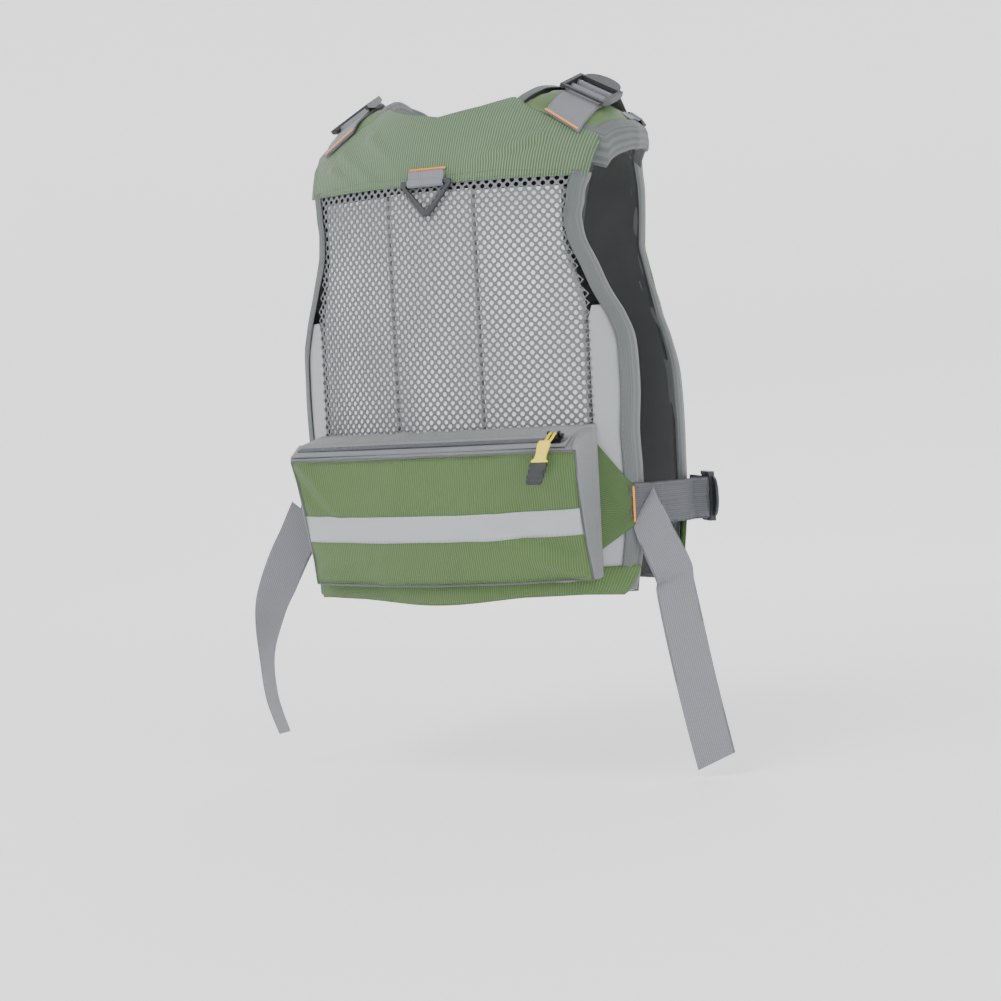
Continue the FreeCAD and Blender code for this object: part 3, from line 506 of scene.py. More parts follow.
make("net_foot", cloth_grid(30, 6, net_foot_place, 0.3, 0.128), net_grey, wall=0.0006, outward=(0, 0, 0.1))

# ---- Yoke ----
# The yoke is the green shoulder blade panel that joins the two pads. It is a coated polyester
# with fine raised warp lines, turned under and double stitched along its lower edge.

green = fabric("green_fabric", colour(70, 99, 48), colour(100, 126, 76), step=0.0021, width=0.28,
               pitch=0.0005, depth=0.00015, rough=0.55, sheen=0.04, amount=0.35)
YOKE_TOP = [(0.0, 0.449), (0.0396, 0.457), (0.0648, 0.4655), (0.0846, 0.452), (0.1206, 0.434),
            (0.144, 0.424),
            (0.148, 0.412)]


def fold(x, z, start, end, height, width):
    """Height at (x, z) of a soft fold that runs from start to end."""
    way = Vector(end) - Vector(start)
    share = share_of((Vector((x, z)) - Vector(start)).dot(way) / way.length_squared, 0, 1)
    far = (Vector((x, z)) - Vector(start) - way * share).length
    return height * math.exp(-(far / width) ** 2) * (1 - 0.6 * share)


def yoke_place(u, v):
    half = 0.142 + 0.0055 * v
    x = half * (2 * u - 1)
    low = 0.3845
    z = low + (along(YOKE_TOP, abs(x)) - low) * v
    rise = fold(x, z, (0.105, 0.425), (0.06, 0.392), 0.0042, 0.0055)
    rise += fold(x, z, (0.115, 0.41), (0.085, 0.39), 0.003, 0.0045)
    rise += fold(x, z, (0.07, 0.435), (0.03, 0.405), 0.0032, 0.006)
    rise += fold(x, z, (-0.1, 0.425), (-0.02, 0.395), 0.0034, 0.0055)
    rise += fold(x, z, (-0.095, 0.415), (-0.05, 0.397), -0.0014, 0.004)
    rise += 0.0014 * noise.noise(Vector((x * 20, z * 30, 0.7)))
    return on_body(x, z, 0.0178 + rise * share_of(abs(x), 0.022, 0.05))


green_yoke = fabric("green_yoke_fabric", colour(80, 108, 72), colour(138, 160, 132), step=0.0023, width=0.3,
                    pitch=0.0005, depth=0.00018, rough=0.5, sheen=0.06, amount=0.35)
yoke = make("yoke_panel", cloth_grid(90, 34, yoke_place, 0.285, 0.09), green_yoke, stands_for=["yoke"],
            wall=0.0011, outward=(0, 0, 0.2))
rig.sheet(yoke, flat=(0.29, 0.105), held="stretched", rests_on=["lining_back"])

# ---- Shoulder pads ----
# Each pad is foam in a green cover, bound along both long edges with grey tape. It hangs over the
# shoulder from the yoke to the front panel.

PAD_INNER = [(-0.062, 0.0738), (-0.02, 0.0828), (0.02, 0.0792), (0.074, 0.0666), (0.09, 0.062)]
PAD_OUTER = [(-0.062, 0.1404), (-0.015, 0.1638), (0.015, 0.1647), (0.06, 0.1494), (0.08, 0.1188),
             (0.09, 0.11)]


def over_shoulder(x, y, out):
    return Vector((x, y, SHOULDER + math.sqrt(max(reach(x, out) ** 2 - y * y, 1e-6))))


def pad_shape():
    pad = bmesh.new()
    bmesh.ops.create_cube(pad, size=1)
    bmesh.ops.subdivide_edges(pad, edges=pad.edges, cuts=12, use_grid_fill=True)
    for vert in pad.verts:
        u, v, w = (c + 0.5 for c in vert.co)
        y = 0.076 - 0.136 * v
        inner, outer = along(PAD_INNER, y) + 0.002, along(PAD_OUTER, y) - 0.002
        x = inner + (outer - inner) * u
        edge = 1 - 0.35 * (2 * abs(u - 0.5)) ** 4
        vert.co = over_shoulder(x, y, 0.0085 + 0.0125 * (w - 0.5) * edge)
    bmesh.ops.recalc_face_normals(pad, faces=pad.faces)
    return pad


def puffed(piece, pressure=4.0, cap=0.003, voxel=0.005):
    """Blow a closed cloth shape up a little, as foam fills its cover; points move at most cap."""
    scene = bpy.context.scene
    bpy.context.view_layer.objects.active = piece
    remesh = piece.modifiers.new("even", "REMESH")
    remesh.mode = "VOXEL"
    remesh.voxel_size = voxel
    graph = bpy.context.evaluated_depsgraph_get()
    piece.data = bpy.data.meshes.new_from_object(piece.evaluated_get(graph))
    piece.modifiers.clear()
    start = [v.co.copy() for v in piece.data.vertices]
    cloth = piece.modifiers.new("cloth", "CLOTH")
    cloth.settings.use_pressure = True
    cloth.settings.uniform_pressure_force = pressure
    cloth.settings.effector_weights.gravity = 0
    for number in range(1, 21):
        scene.frame_set(number)
    graph = bpy.context.evaluated_depsgraph_get()
    piece.data = bpy.data.meshes.new_from_object(piece.evaluated_get(graph))
    piece.modifiers.clear()
    scene.frame_set(1)
    for vert, old in zip(piece.data.vertices, start):
        step = vert.co - old
        if step.length > cap:
            vert.co = old + step.normalized() * cap
    piece.data.shade_smooth()
    fine = piece.modifiers.new("fine", "SUBSURF")
    fine.levels = fine.render_levels = 1


green_pad = plain("green_pad_fabric", colour(88, 110, 72), 0.55, 18.0, 0.3, 1500.0, 0.0004)
for hand, way in (("left", 1), ("right", -1)):
    shape = pad_shape()
    if way < 0:
        bmesh.ops.scale(shape, vec=(-1, 1, 1), verts=shape.verts)
        bmesh.ops.reverse_faces(shape, faces=shape.faces)
    pad = make(f"pad_{hand}", shape, green_pad, stands_for=[f"shoulder_pad_{hand}"])
    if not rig.quick():
        puffed(pad)
    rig.padded(pad, 0.8)

PAD_RUN = [0.077, 0.05, 0.02, -0.015, -0.04, -0.061]


def pad_tape_shape(way, edges, sign, rows=60):
    """Tape folded round one long edge of a pad, from its top face to its underside."""
    def place(u, v):
        y = smooth([(step, 0, 0) for step in PAD_RUN], v).x
        x = along(edges, y)
        turn = share_of(u, 0.4, 0.6)
        slide = 0.0085 * (1 - share_of(u, 0, 0.4)) if u < 0.5 else 0.0085 * share_of(u, 0.6, 1)
        wave = 0.0008 * noise.noise(Vector((v * 8, 4.1, way)))
        x = x + sign * (0.0016 * math.sin(math.pi * turn) - slide + wave)
        return over_shoulder(way * x, y, 0.0172 - 0.0165 * turn)
    return cloth_grid(14, rows, place, 0.02, 0.17)


# ---- Side panels ----
# Narrow grey panels close the back at each side. They are a thin foam strip in smooth polyester,
# sewn to the edge of the net.

side_cloth = fabric("side_fabric", colour(160, 161, 166), pitch=0.0006, depth=0.00012, rough=0.6, sheen=0.3)
SIDE_INNER = [(0.002, 0.1365), (0.255, 0.1365), (0.275, 0.142)]
SIDE_OUTER = [(0.002, 0.159), (0.05, 0.1655), (0.232, 0.1658), (0.268, 0.1545)]


def side_strip_shape(way):
    strip = slab(lambda z: way * along(SIDE_INNER, z), lambda z: way * along(SIDE_OUTER, z),
                 0.003, 0.266, 0.0013, 0.0158)
    map_flat(strip, "x", "z")
    return strip


def map_flat(shape, first, second):
    """Map a shape by two of its own directions, in metres."""
    uv = shape.loops.layers.uv.verify()
    for face in shape.faces:
        for loop in face.loops:
            loop[uv].uv = (getattr(loop.vert.co, first), getattr(loop.vert.co, second))


for hand, way in (("left", 1), ("right", -1)):
    strip = make(f"side_strip_{hand}", side_strip_shape(way), side_cloth, stands_for=[f"side_panel_{hand}"],
                 outward=(0, 0, 0.13))
    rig.padded(eased(strip, 0.004, 4), 0.8)

# ---- Armhole tapes ----
# Grey twill tape is folded over the raw edge of each armhole and sewn through. It runs from the
# hem to the shoulder and takes up the edge's waves.

tape_grey = fabric("edge_tape", colour(86, 90, 91), colour(100, 104, 105), step=0.0011, width=0.5,
                   pitch=0.0007, depth=0.0001, rough=0.7, sheen=0.1)
ARMHOLE = [(0.159, 0.004), (0.1662, 0.06), (0.1668, 0.15), (0.167, 0.232), (0.1545, 0.272), (0.1325, 0.328),
           (0.132, 0.36), (0.1378, 0.388)]


def smooth(points, share):
    """Point on a smooth line through the points, share of the way along."""
    spot = min(max(share, 0), 0.99999) * (len(points) - 1)
    number, part = int(spot), spot - int(spot)
    near = (min(max(number + step, 0), len(points) - 1) for step in (-1, 0, 1, 2))
    before, start, end, after = (Vector(points[index]) for index in near)
    return 0.5 * ((2 * start) + (end - before) * part + (2 * before - 5 * start + 4 * end - after) * part ** 2
                  + (3 * start - before - 3 * end + after) * part ** 3)


def tape_shape(way, edge, wide, outer, inner, rows, side=1):
    """Tape folded round an edge of a panel: outer face, fold, inner face."""
    def place(u, v):
        here = smooth(edge, v)
        ahead = smooth(edge, min(v + 0.01, 1)) - smooth(edge, max(v - 0.01, 0))
        off = Vector((ahead.y, -ahead.x)).normalized()
        wave = 0.0014 * noise.noise(Vector((v * 9, 1.3, way))) + 0.0003 * math.sin(v * 60)
        turn = share_of(u, 0.42, 0.58)
        slide = wide * (1 - share_of(u, 0, 0.42)) if u < 0.5 else wide * share_of(u, 0.58, 1)
        ease = 0.0022 * math.sin(math.pi * turn)
        spot = here + off * (ease - slide + wave)
        out = outer + (inner - outer) * turn + 0.0008 * noise.noise(Vector((v * 14, u * 3, 2.2 * way)))
        return on_body(way * spot.x, spot.y, out, side)
    return cloth_grid(14, rows, place, 2 * wide + 0.004, 0.33)


for hand, way in (("left", 1), ("right", -1)):
    make(f"armhole_tape_{hand}", tape_shape(way, ARMHOLE, 0.0085, 0.0182, 0.0004, 90), tape_grey,
         stands_for=[f"armhole_binding_{hand}"], wall=0.0008, outward=(0, 0, 0.25))

for hand, way in (("left", 1), ("right", -1)):
    for edge, corners, sign in (("neck", PAD_INNER, -1), ("arm", PAD_OUTER, 1)):
        make(f"pad_{edge}_tape_{hand}", pad_tape_shape(way, corners, sign), tape_grey, wall=0.0008,
             outward=(way * 0.115, 0, 0.40))

# ---- Hem band and wings ----
# The hem band is a turned strip of the green cloth along the bottom. Each wing is a green gusset
# that takes the pull of the waist strap and spreads it over the side.


def hem_place(u, v):
    x = (2 * u - 1) * (0.155 + 0.003 * v)
    if u < 0.15:
        x -= 0.012 * (1 - u / 0.15) * math.sqrt(max(v, 0.001))
    sag = 0.0015 * math.sin(u * 16) + 0.001 * noise.noise(Vector((u * 9, v * 2, 3)))
    height = 0.003 * math.sin(u * 9) * (1 - v) + 0.027 * v
    return on_body(x, height, 0.018 + sag * (1 - v) + 0.002 * math.sin(math.pi * v))


make("hem_band", cloth_grid(70, 8, hem_place, 0.33, 0.028), green, stands_for=["hem_panel"], wall=0.0011,
     outward=(0, 0, 0.01))

WING_LOW = [(0.138, 0.041), (0.1674, 0.064)]
WING_HIGH = [(0.138, 0.143), (0.1665, 0.1)]
# Painted shade: the wings' cloth is the green fabric made a little darker all over, standing in for the shade on the
# sides of the back. Its lines run across because wing_shape turns the wing's map.
green_wing_shaded = fabric("green_fabric_wing_shade", colour(66, 94, 46), colour(96, 122, 74), step=0.0021,
                      width=0.28, pitch=0.0005, depth=0.00015, rough=0.55, sheen=0.04, amount=0.35)


def wing_shape(way):
    def place(u, v):
        x = 0.139 + 0.0284 * u
        z = along(WING_LOW, x) + (along(WING_HIGH, x) - along(WING_LOW, x)) * v
        pucker = 0.0008 * math.sin(v * 14) * u + 0.0006 * noise.noise(Vector((u * 3, v * 3, way)))
        return on_body(way * x, z, 0.0194 + pucker)
    shape = cloth_grid(16, 24, place, 0.06, 0.1)
    uv = shape.loops.layers.uv.active
    for face in shape.faces:
        for loop in face.loops:
            loop[uv].uv = loop[uv].uv.yx
    return shape


for hand, way in (("left", 1), ("right", -1)):
    make(f"wing_{hand}_cloth", wing_shape(way), green_wing_shaded, stands_for=[f"wing_{hand}"], wall=0.0011,
         outward=(0, 0, 0.1))

# ---- Back pocket ----
# A zipped box pocket hangs on the lower back: green face, grey sloping top and ends, grey piping
# on the seams and a bright reflective strip across the face.

grey_cloth = fabric("grey_fabric", colour(110, 113, 116), pitch=0.0006, depth=0.00012, rough=0.6, sheen=0.3)
POCKET_HALF = 0.14
BACK_LINE = 0.1378
LIP = Vector((BACK_LINE + 0.048, 0.1362))
FOOT = Vector((BACK_LINE + 0.009, 0.018))


def pocket_bulge(u, v):
    """Soft push of the pocket face, most at its middle, with pull lines from the corners."""
    belly = 0.0045 * math.sin(math.pi * u) ** 0.6 * math.sin(math.pi * v)
    x, z = (u - 0.5) * 0.28, v * 0.12
    rise = fold(x, z, (-0.13, 0.115), (-0.098, 0.066), 0.0042, 0.0075)
    rise += fold(x, z, (-0.13, 0.085), (-0.09, 0.052), -0.003, 0.006)
    rise += fold(x, z, (-0.13, 0.014), (-0.075, 0.028), 0.0026, 0.006)
    rise += fold(x, z, (0.135, 0.006), (0.045, 0.048), 0.0046, 0.0075)
    rise += fold(x, z, (0.125, 0.025), (0.07, 0.05), -0.0028, 0.006)
    rise += fold(x, z, (0.12, 0.105), (0.065, 0.07), 0.0036, 0.008)
    rise += fold(x, z, (0.03, 0.112), (0.025, 0.07), 0.0018, 0.012)
    rise += fold(x, z, (-0.03, 0.112), (-0.04, 0.075), 0.0018, 0.012)
    return belly + rise + 0.0016 * noise.noise(Vector((u * 7, v * 4, 0.2)))


def wrap(u, v):
    """How far the pocket face bends forward round the body, more at its foot than at its lip."""
    return (2 * u - 1) ** 2 * (0.03 - 0.021 * v)


def face_lean(v):
    """The full pocket leans to the right: its lip sits further over than its foot."""
    return 0.0105 * v - 0.003


def top_line(u, v):
    """Slope of the pocket's top from the back panel, under the zip, to the lip."""
    x = POCKET_HALF * (1 - 2 * u)
    back = Vector((reach(x, 0.0195), 0.158))
    stations = [back, Vector((0.1518, 0.149)), Vector((0.171, 0.1384)), LIP - Vector((wrap(u, 1), 0))]
    place = v * 3
    number = min(int(place), 2)
    return stations[number] + (stations[number + 1] - stations[number]) * (place - number)


def face_place(u, v):
    pinch = 0.003 * math.sin(math.pi * v)
    half = POCKET_HALF + 0.001 - pinch
    lean = face_lean(v)
    spot = FOOT + (LIP - FOOT) * v
    normal = Vector((LIP.y - FOOT.y, FOOT.x - LIP.x)).normalized()
    spot = spot + normal * pocket_bulge(u, v)
    droop = 0.002 * math.sin(math.pi * u) * (1 - v)
    return Vector((half * (1 - 2 * u) - lean, spot.x - wrap(u, v), spot.y - droop))


make("pocket_front_cloth", cloth_grid(80, 36, face_place, 0.28, 0.12), green, stands_for=["pocket_face"],
     wall=0.0012, outward=(0, 0, 0.08))


def pocket_wall(name, place, width, length, columns=40, rows=8):
    return make(name, cloth_grid(columns, rows, place, width, length), grey_cloth, wall=0.0012,
                outward=(0, 0.13, 0.09))


def pocket_top_place(u, v):
    spot = top_line(u, v)
    pucker = 0.0016 * math.sin(u * 55) * math.exp(-((u - 0.38) / 0.2) ** 2) * share_of(1 - v, 0.7, 1)
    x = POCKET_HALF * (1 - 2 * u) - face_lean(1) * v ** 3
    return Vector((x, spot.x + pucker, spot.y + 0.6 * pucker))


def pocket_floor_place(u, v):
    x = POCKET_HALF * (1 - 2 * u) - face_lean(0) * v
    back_y = reach(x, 0.0195)
    y = back_y + (FOOT.x - wrap(u, 0) - back_y) * v
    pucker = 0.0008 * math.sin(u * 40) - 0.002
    return Vector((x, y, 0.018 + pucker * math.sin(math.pi * v)))


def pocket_end_place(way):
    def place(u, v):
        crease = 0.006 * math.sin(math.pi * u) * math.sin(math.pi * v)
        x = way * (POCKET_HALF + 0.0005 - crease) - face_lean(v) * u ** 2
        top = top_line(0, u)
        foot = Vector((reach(POCKET_HALF, 0.0195), 0.018))
        foot = foot + (FOOT - Vector((wrap(0, 0), 0)) - foot) * u
        spot = foot + (top - foot) * v
        return Vector((x, spot.x - (wrap(0, v) - wrap(0, 0) - (wrap(0, 1) - wrap(0, 0)) * v) * u, spot.y))
    return place


gusset = pocket_wall("pocket_gusset_top", pocket_top_place, 0.28, 0.055)
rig.replaces(gusset, "pocket_gusset")
pocket_wall("pocket_gusset_floor", pocket_floor_place, 0.28, 0.03)
for hand, way in (("left", 1), ("right", -1)):
    end_wall = cloth_grid(12, 24, pocket_end_place(way), 0.06, 0.14)
    make(f"pocket_gusset_{hand}", end_wall, grey_cloth, wall=0.0012, outward=(0, 0.15, 0.09))


def rope_along(name, points, radius, finish, count=60, body="vest"):
    """Round piping on a smooth line through the points."""
    curve = bpy.data.curves.new(name, "CURVE")
    curve.dimensions = "3D"
    curve.bevel_depth = radius
    curve.bevel_resolution = 2
    line = curve.splines.new("POLY")
    line.points.add(count - 1)
    for number, point in enumerate(line.points):
        point.co = (*smooth(points, number / (count - 1)), 1)
    source = bpy.data.objects.new(name + "_line", curve)
    mesh = bpy.data.meshes.new_from_object(source)
    bpy.data.objects.remove(source)
    shape = bmesh.new()
    shape.from_mesh(mesh)
    bpy.data.meshes.remove(mesh)
    return make(name, shape, finish, body)


lip_line = [face_place(u, 1) for u in (0, 0.1, 0.25, 0.4, 0.5, 0.6, 0.75, 0.9, 1)]
foot_line = [face_place(u, 0) for u in (0, 0.1, 0.25, 0.4, 0.5, 0.6, 0.75, 0.9, 1)]
rope_along("pocket_piping_lip", lip_line, 0.0011, tape_grey)
rope_along("pocket_piping_foot", foot_line, 0.0011, tape_grey)
for hand, u in (("left", 0), ("right", 1)):
    side_line = [face_place(u, v) for v in (0, 0.25, 0.5, 0.75, 1)]
    rope_along(f"pocket_piping_{hand}", side_line, 0.001, tape_grey, 30)

silver = fabric("reflective_tape", colour(168, 171, 176), pitch=0.0012, depth=0.00006, rough=0.42, sheen=0.1,
                amount=0.12)
silver.node_tree.nodes["Principled BSDF"].inputs["Metallic"].default_value = 0.25


def strip_place(u, v):
    high = 0.355 + 0.205 * v
    spot = face_place(0.002 + 0.996 * u, high)
    normal = Vector((0, LIP.y - FOOT.y, FOOT.x - LIP.x)).normalized()
    return spot + normal * 0.0006


make("reflective_band", cloth_grid(80, 8, strip_place, 0.28, 0.025), silver, stands_for=["reflective_strip"],
     wall=0.0005, outward=(0, 0, 0.08))

# ---- Sewing thread ----
# Seams are lockstitched in matching thread. The ends of the webbing are bar tacked in orange.


def stitches(name, route, out, finish, count, length=0.0022, thread=0.00028, body="vest", tilt=0.0):
    """Row of stitches on a line of points; out gives the cloth's outward side."""
    row = bmesh.new()
    for number in range(count):
        share = (number + 0.5) / count
        spot = route(share)
        ahead = (route(min(share + 0.002, 1)) - route(max(share - 0.002, 0))).normalized()
        side = Vector(out).cross(ahead).normalized()
        ahead = (ahead * math.cos(tilt) + side * math.sin(tilt)).normalized()
        side = Vector(out).cross(ahead).normalized()
        turned = Matrix((ahead, side, ahead.cross(side))).transposed().to_4x4()
        size = Matrix.Diagonal((length / 2, thread, thread, 1))
        bmesh.ops.create_icosphere(row, subdivisions=1, radius=1,
                                   matrix=Matrix.Translation(spot) @ turned @ size)
    return make(name, row, finish, body)


def thread_finish(name, tone):
    material = plain(name, tone, 0.5, 80.0, 0.2, 2500.0, 0.0001)
    material.node_tree.nodes["Principled BSDF"].inputs["Sheen Weight"].default_value = 0.3
    return material


thread_green = thread_finish("thread_green", colour(62, 76, 54))
thread_grey = thread_finish("thread_grey", colour(92, 94, 97))
thread_pale = thread_finish("thread_pale", colour(196, 198, 200))
thread_orange = thread_finish("thread_orange", colour(252, 148, 6))
def just_off(place, line, lift=(0, 0.0004, 0)):
    """Route of a seam: line(share) gives the spot on the cloth, and lift raises it off the weave."""
    return lambda share: place(*line(share)) + Vector(lift)


for number, (start, rise) in enumerate(((0.01, 0.03), (0.58, 0.03), (0.01, 0.1), (0.58, 0.1))):
    route = just_off(yoke_place, lambda share, a=start, v=rise: (a + 0.41 * share, v), (0, 0.0003, 0))
    stitches(f"yoke_seam_{number}", route, (0, 1, 0), thread_green, 42)
for hand, u in (("left", 0.985), ("right", 0.015)):
    route = just_off(yoke_place, lambda share, u=u: (u, 0.04 + 0.9 * share), (0, 0.0003, 0.0002))
    stitches(f"yoke_edge_seam_{hand}", route, (0, 1, 0.3), thread_green, 14)
for number, v in enumerate((0.06, 0.94)):
    route = just_off(strip_place, lambda share, v=v: (share, v))
    stitches(f"reflective_seam_{number}", route, (0, 1, 0), thread_pale, 62, 0.0021, 0.00026)
for number, v in enumerate((0.025, 0.972)):
    route = just_off(face_place, lambda share, v=v: (0.01 + 0.98 * share, v))
    stitches(f"pocket_seam_{number}", route, (0, 1, 0), thread_green, 100)
hem_line = just_off(hem_place, lambda share: (0.02 + 0.96 * share, 0.84), (0, 0.0006, 0))
stitches("hem_seam", hem_line, (0, 1, 0), thread_green, 100)
for hand, way in (("left", 1), ("right", -1)):
    def tape_line(share, way=way):
        here = smooth(ARMHOLE, share)
        ahead = smooth(ARMHOLE, min(share + 0.01, 1)) - smooth(ARMHOLE, max(share - 0.01, 0))
        off = Vector((ahead.y, -ahead.x)).normalized()
        spot = here - off * 0.0062
        return on_body(way * spot.x, spot.y, 0.0190)
    stitches(f"armhole_seam_{hand}", tape_line, (way * 0.7, 0.7, 0), thread_grey, 120)


def bar_tack(name, start, end, out, body="vest"):
    """Dense orange satin stitch across the end of a strap."""
    start, end = Vector(start), Vector(end)
    count = int((end - start).length / 0.00052)
    return stitches(name, lambda share: start + (end - start) * share, out, thread_orange, count, 0.0028,
                    0.00055, body, tilt=1.25)


for hand, way in (("left", 1), ("right", -1)):
    top = on_body(way * 0.1668, 0.0985, 0.0206)
    foot = on_body(way * 0.1668, 0.0665, 0.0206)
    bar_tack(f"wing_tack_{hand}", foot, top, (way * 0.8, 0.6, 0))
bar_tack("hang_loop_tack", on_body(-0.018, 0.3985, 0.0192), on_body(0.018, 0.3985, 0.0192), (0, 1, 0.1))

# ---- Pocket zip ----
# Coil zip on grey tape, set in the sloping top. The slider is painted metal and its puller is a
# two-colour rubber grip.

ZIP_MIDDLE = Vector((0, 0.1618, 0.1445))
ZIP_OUT = Vector((0, 0.490261, 0.871576))
ZIP_ACROSS = Vector((0, 0.871576, -0.490261))
zip_cloth = fabric("zip_tape", colour(112, 115, 120), colour(135, 138, 142), step=0.0011, width=0.5,
                   pitch=0.0006, depth=0.0001, rough=0.7)
teeth_grey = plain("zip_teeth", colour(96, 99, 104), 0.45, 60.0, 0.15, 900.0, 0.0001)


def zip_tape(middle, along_way, across_way, length, width, sag=None):
    """Flat tape of a zip; sag(u, v) lifts it along the side that faces out."""
    out_way = along_way.cross(across_way)
    def place(u, v):
        spot = middle + along_way * (length * (v - 0.5)) + across_way * (width * (u - 0.5))
        return spot + out_way * (sag(u, v) if sag else 0)
    return cloth_grid(6, 60, place, width, length)


def teeth_row(middle, along_way, across_way, length, step=0.0017):
    """Two rows of moulded coils whose heads mesh in the middle of the zip."""
    out_way = along_way.cross(across_way)
    row = bmesh.new()
    turned = Matrix((along_way, across_way, out_way)).transposed().to_4x4()
    for number in range(int(length / step)):
        for side in (-1, 1):
            spot = middle + along_way * (number * step - length / 2 + side * step / 4)
            spot = spot + across_way * (side * 0.0011)
            bmesh.ops.create_cube(row, size=1, matrix=Matrix.Translation(spot) @ turned
                                  @ Matrix.Diagonal((0.00105, 0.0031, 0.0016, 1)))
    return row


tape = zip_tape(ZIP_MIDDLE + ZIP_OUT * 0.0006, Vector((1, 0, 0)), ZIP_ACROSS, 0.274, 0.022,
                lambda u, v: 0.0006 - 0.0018 * math.sin(math.pi * v) * 0.5)
make("pocket_zip_tape", tape, zip_cloth, stands_for=["pocket_zip"], wall=0.0007, outward=(0, 0.1, 0))
teeth = teeth_row(ZIP_MIDDLE + ZIP_OUT * 0.0018, Vector((1, 0, 0)), ZIP_ACROSS, 0.27)
make("pocket_zip_teeth", teeth, teeth_grey)

slider_metal = plain("slider_metal", colour(52, 54, 56), 0.35, 80.0, 0.2, 500.0, 0.00005, metal=0.85)
black_plastic = plain("black_plastic", colour(38, 39, 41), 0.5, 60.0, 0.25, 1800.0, 0.00025)
pull_rubber = bpy.data.materials.new("pull_rubber")
pull_rubber.use_nodes = True


def two_tone(material, level, upper, lower):
    """Rubber in two colours that meet at one height."""
    tree = material.node_tree
    shader = tree.nodes["Principled BSDF"]
    place = add(tree, "TexCoord").outputs["Object"]
    z = add(tree, "SeparateXYZ", place).outputs[2]
    high = calc(tree, "GREATER_THAN", z, level)
    tone = mixed(tree, high, lower, upper)
    outs = place_effect(tree, handled, tone, place, 60.0, 0.2)
    tree.links.new(outs[0], shader.inputs["Base Color"])
    speck = add(tree, "TexNoise", place, None, 1500.0, 3.0, 0.6)
    bump = add(tree, "Bump", 0.5, 0.0002)
    tree.links.new(speck.outputs[0], bump.inputs["Height"])
    tree.links.new(bump.outputs[0], shader.inputs["Normal"])
    tree.links.new(calc(tree, "MULTIPLY_ADD", outs[1], 0.2, 0.4), shader.inputs["Roughness"])


two_tone(pull_rubber, 0.1275, colour(236, 214, 60), colour(36, 37, 38))


def refinish(names, finish):
    """Give kept pieces of the frame their own material."""
    for name in names:
        slots = frame["nodes"][name].data.materials
        slots.clear()
        slots.append(finish)


refinish(["pocket_slider"], slider_metal)
GRIP_OUTLINE = [(0.0, 0.55), (0.08, 0.72), (0.3, 0.6), (0.44, 0.66), (0.46, 0.98), (0.85, 1.0),
                (0.95, 0.9), (1.0, 0.7)]


def pull_grip(start, end, wide, thick, across):
    """Moulded puller: a waisted yellow neck, then a wider grip with cross grooves."""
    grip = bmesh.new()
    bmesh.ops.create_cube(grip, size=1)
    long_edges = [e for e in grip.edges if abs(e.verts[0].co.y - e.verts[1].co.y) > 0.5]
    bmesh.ops.subdivide_edges(grip, edges=long_edges, cuts=23)
    out = across.cross((end - start).normalized())
    for vert in grip.verts:
        share = vert.co.y + 0.5
        groove = 0.84 if 0.5 < share < 0.95 and int(share * 24) % 3 == 0 else 1
        body = along(GRIP_OUTLINE, share)
        spot = start + (end - start) * share
        side = vert.co.x * wide * body * groove
        rise = vert.co.z * thick * groove * (0.6 + 0.4 * body)
        vert.co = spot + across * side + out * rise
    bmesh.ops.recalc_face_normals(grip, faces=grip.faces)
    return grip


PIN = Vector((-0.125, 0.165918, 0.151821))
LINK = Vector((-0.125, 0.1775, 0.1475))
GRIP_START = Vector((-0.123, 0.1835, 0.146))
GRIP_END = Vector((-0.115, 0.196, 0.108))
grip = make("pocket_puller", pull_grip(GRIP_START, GRIP_END, 0.0165, 0.0046, Vector((1, 0, 0))), pull_rubber,
            "pocket_pull", ["pocket_pull"])
eased(grip, 0.0008, 2)
for hand, shift in (("a", 0.0022), ("b", -0.0022)):
    beside = Vector((shift, 0, 0))
    link = [PIN + beside, PIN + beside + Vector((0, 0.004, -0.0002)), LINK + beside,
            GRIP_START + beside + Vector((0, 0.001, -0.003))]
    rope_along(f"pocket_puller_cord_{hand}", link, 0.0012, pull_rubber, 14, "pocket_pull")

# ---- Webbing ----
# All straps are 38 mm grey polypropylene webbing, 1.3 mm thick, with raised ribs along it. Each
# ladder lock hangs on a sewn loop and grips the free strap on its second bar.

webbing_grey = fabric("grey_webbing", colour(108, 110, 116), colour(140, 142, 148), step=0.0019, width=0.6,
                      pitch=0.0014, depth=0.00015, rough=0.65, ribs=0.0002, sheen=0.15)
WIDE = 0.038


def webbing(route, length, width=WIDE, rows=60, curl=0.0):
    """Flat webbing along a route of (middle point, way across); its map runs across, then along."""
    middles = [m for m, _ in route]
    ways = [w for _, w in route]
    def place(u, v):
        across = smooth(ways, v).normalized()
        lip = curl * (2 * u - 1) ** 2
        return smooth(middles, v) + across * (width * (u - 0.5)) + Vector((0, 0, lip))
    strap = cloth_grid(12, rows, place, width, length)
    return strap


def thick(strap, wall=0.0012):
    bmesh.ops.solidify(strap, geom=strap.faces, thickness=wall)
    bmesh.ops.recalc_face_normals(strap, faces=strap.faces)
    return strap


def lock_frame(origin, across, ahead, out, way):
    """Gives local(x, y, z) of a buckle; the right one is the left one's mirror image."""
    def local(x, y, z):
        spot = origin + across * x + ahead * y + out * z
        return Vector((way * spot.x, spot.y, spot.z))
    return local


def loop_route(local, points):
    """Route of webbing through a buckle, from (along, out) pairs."""
    across = (local(1, 0, 0) - local(0, 0, 0)).normalized()
    return [(local(0, y, z), across) for y, z in points]


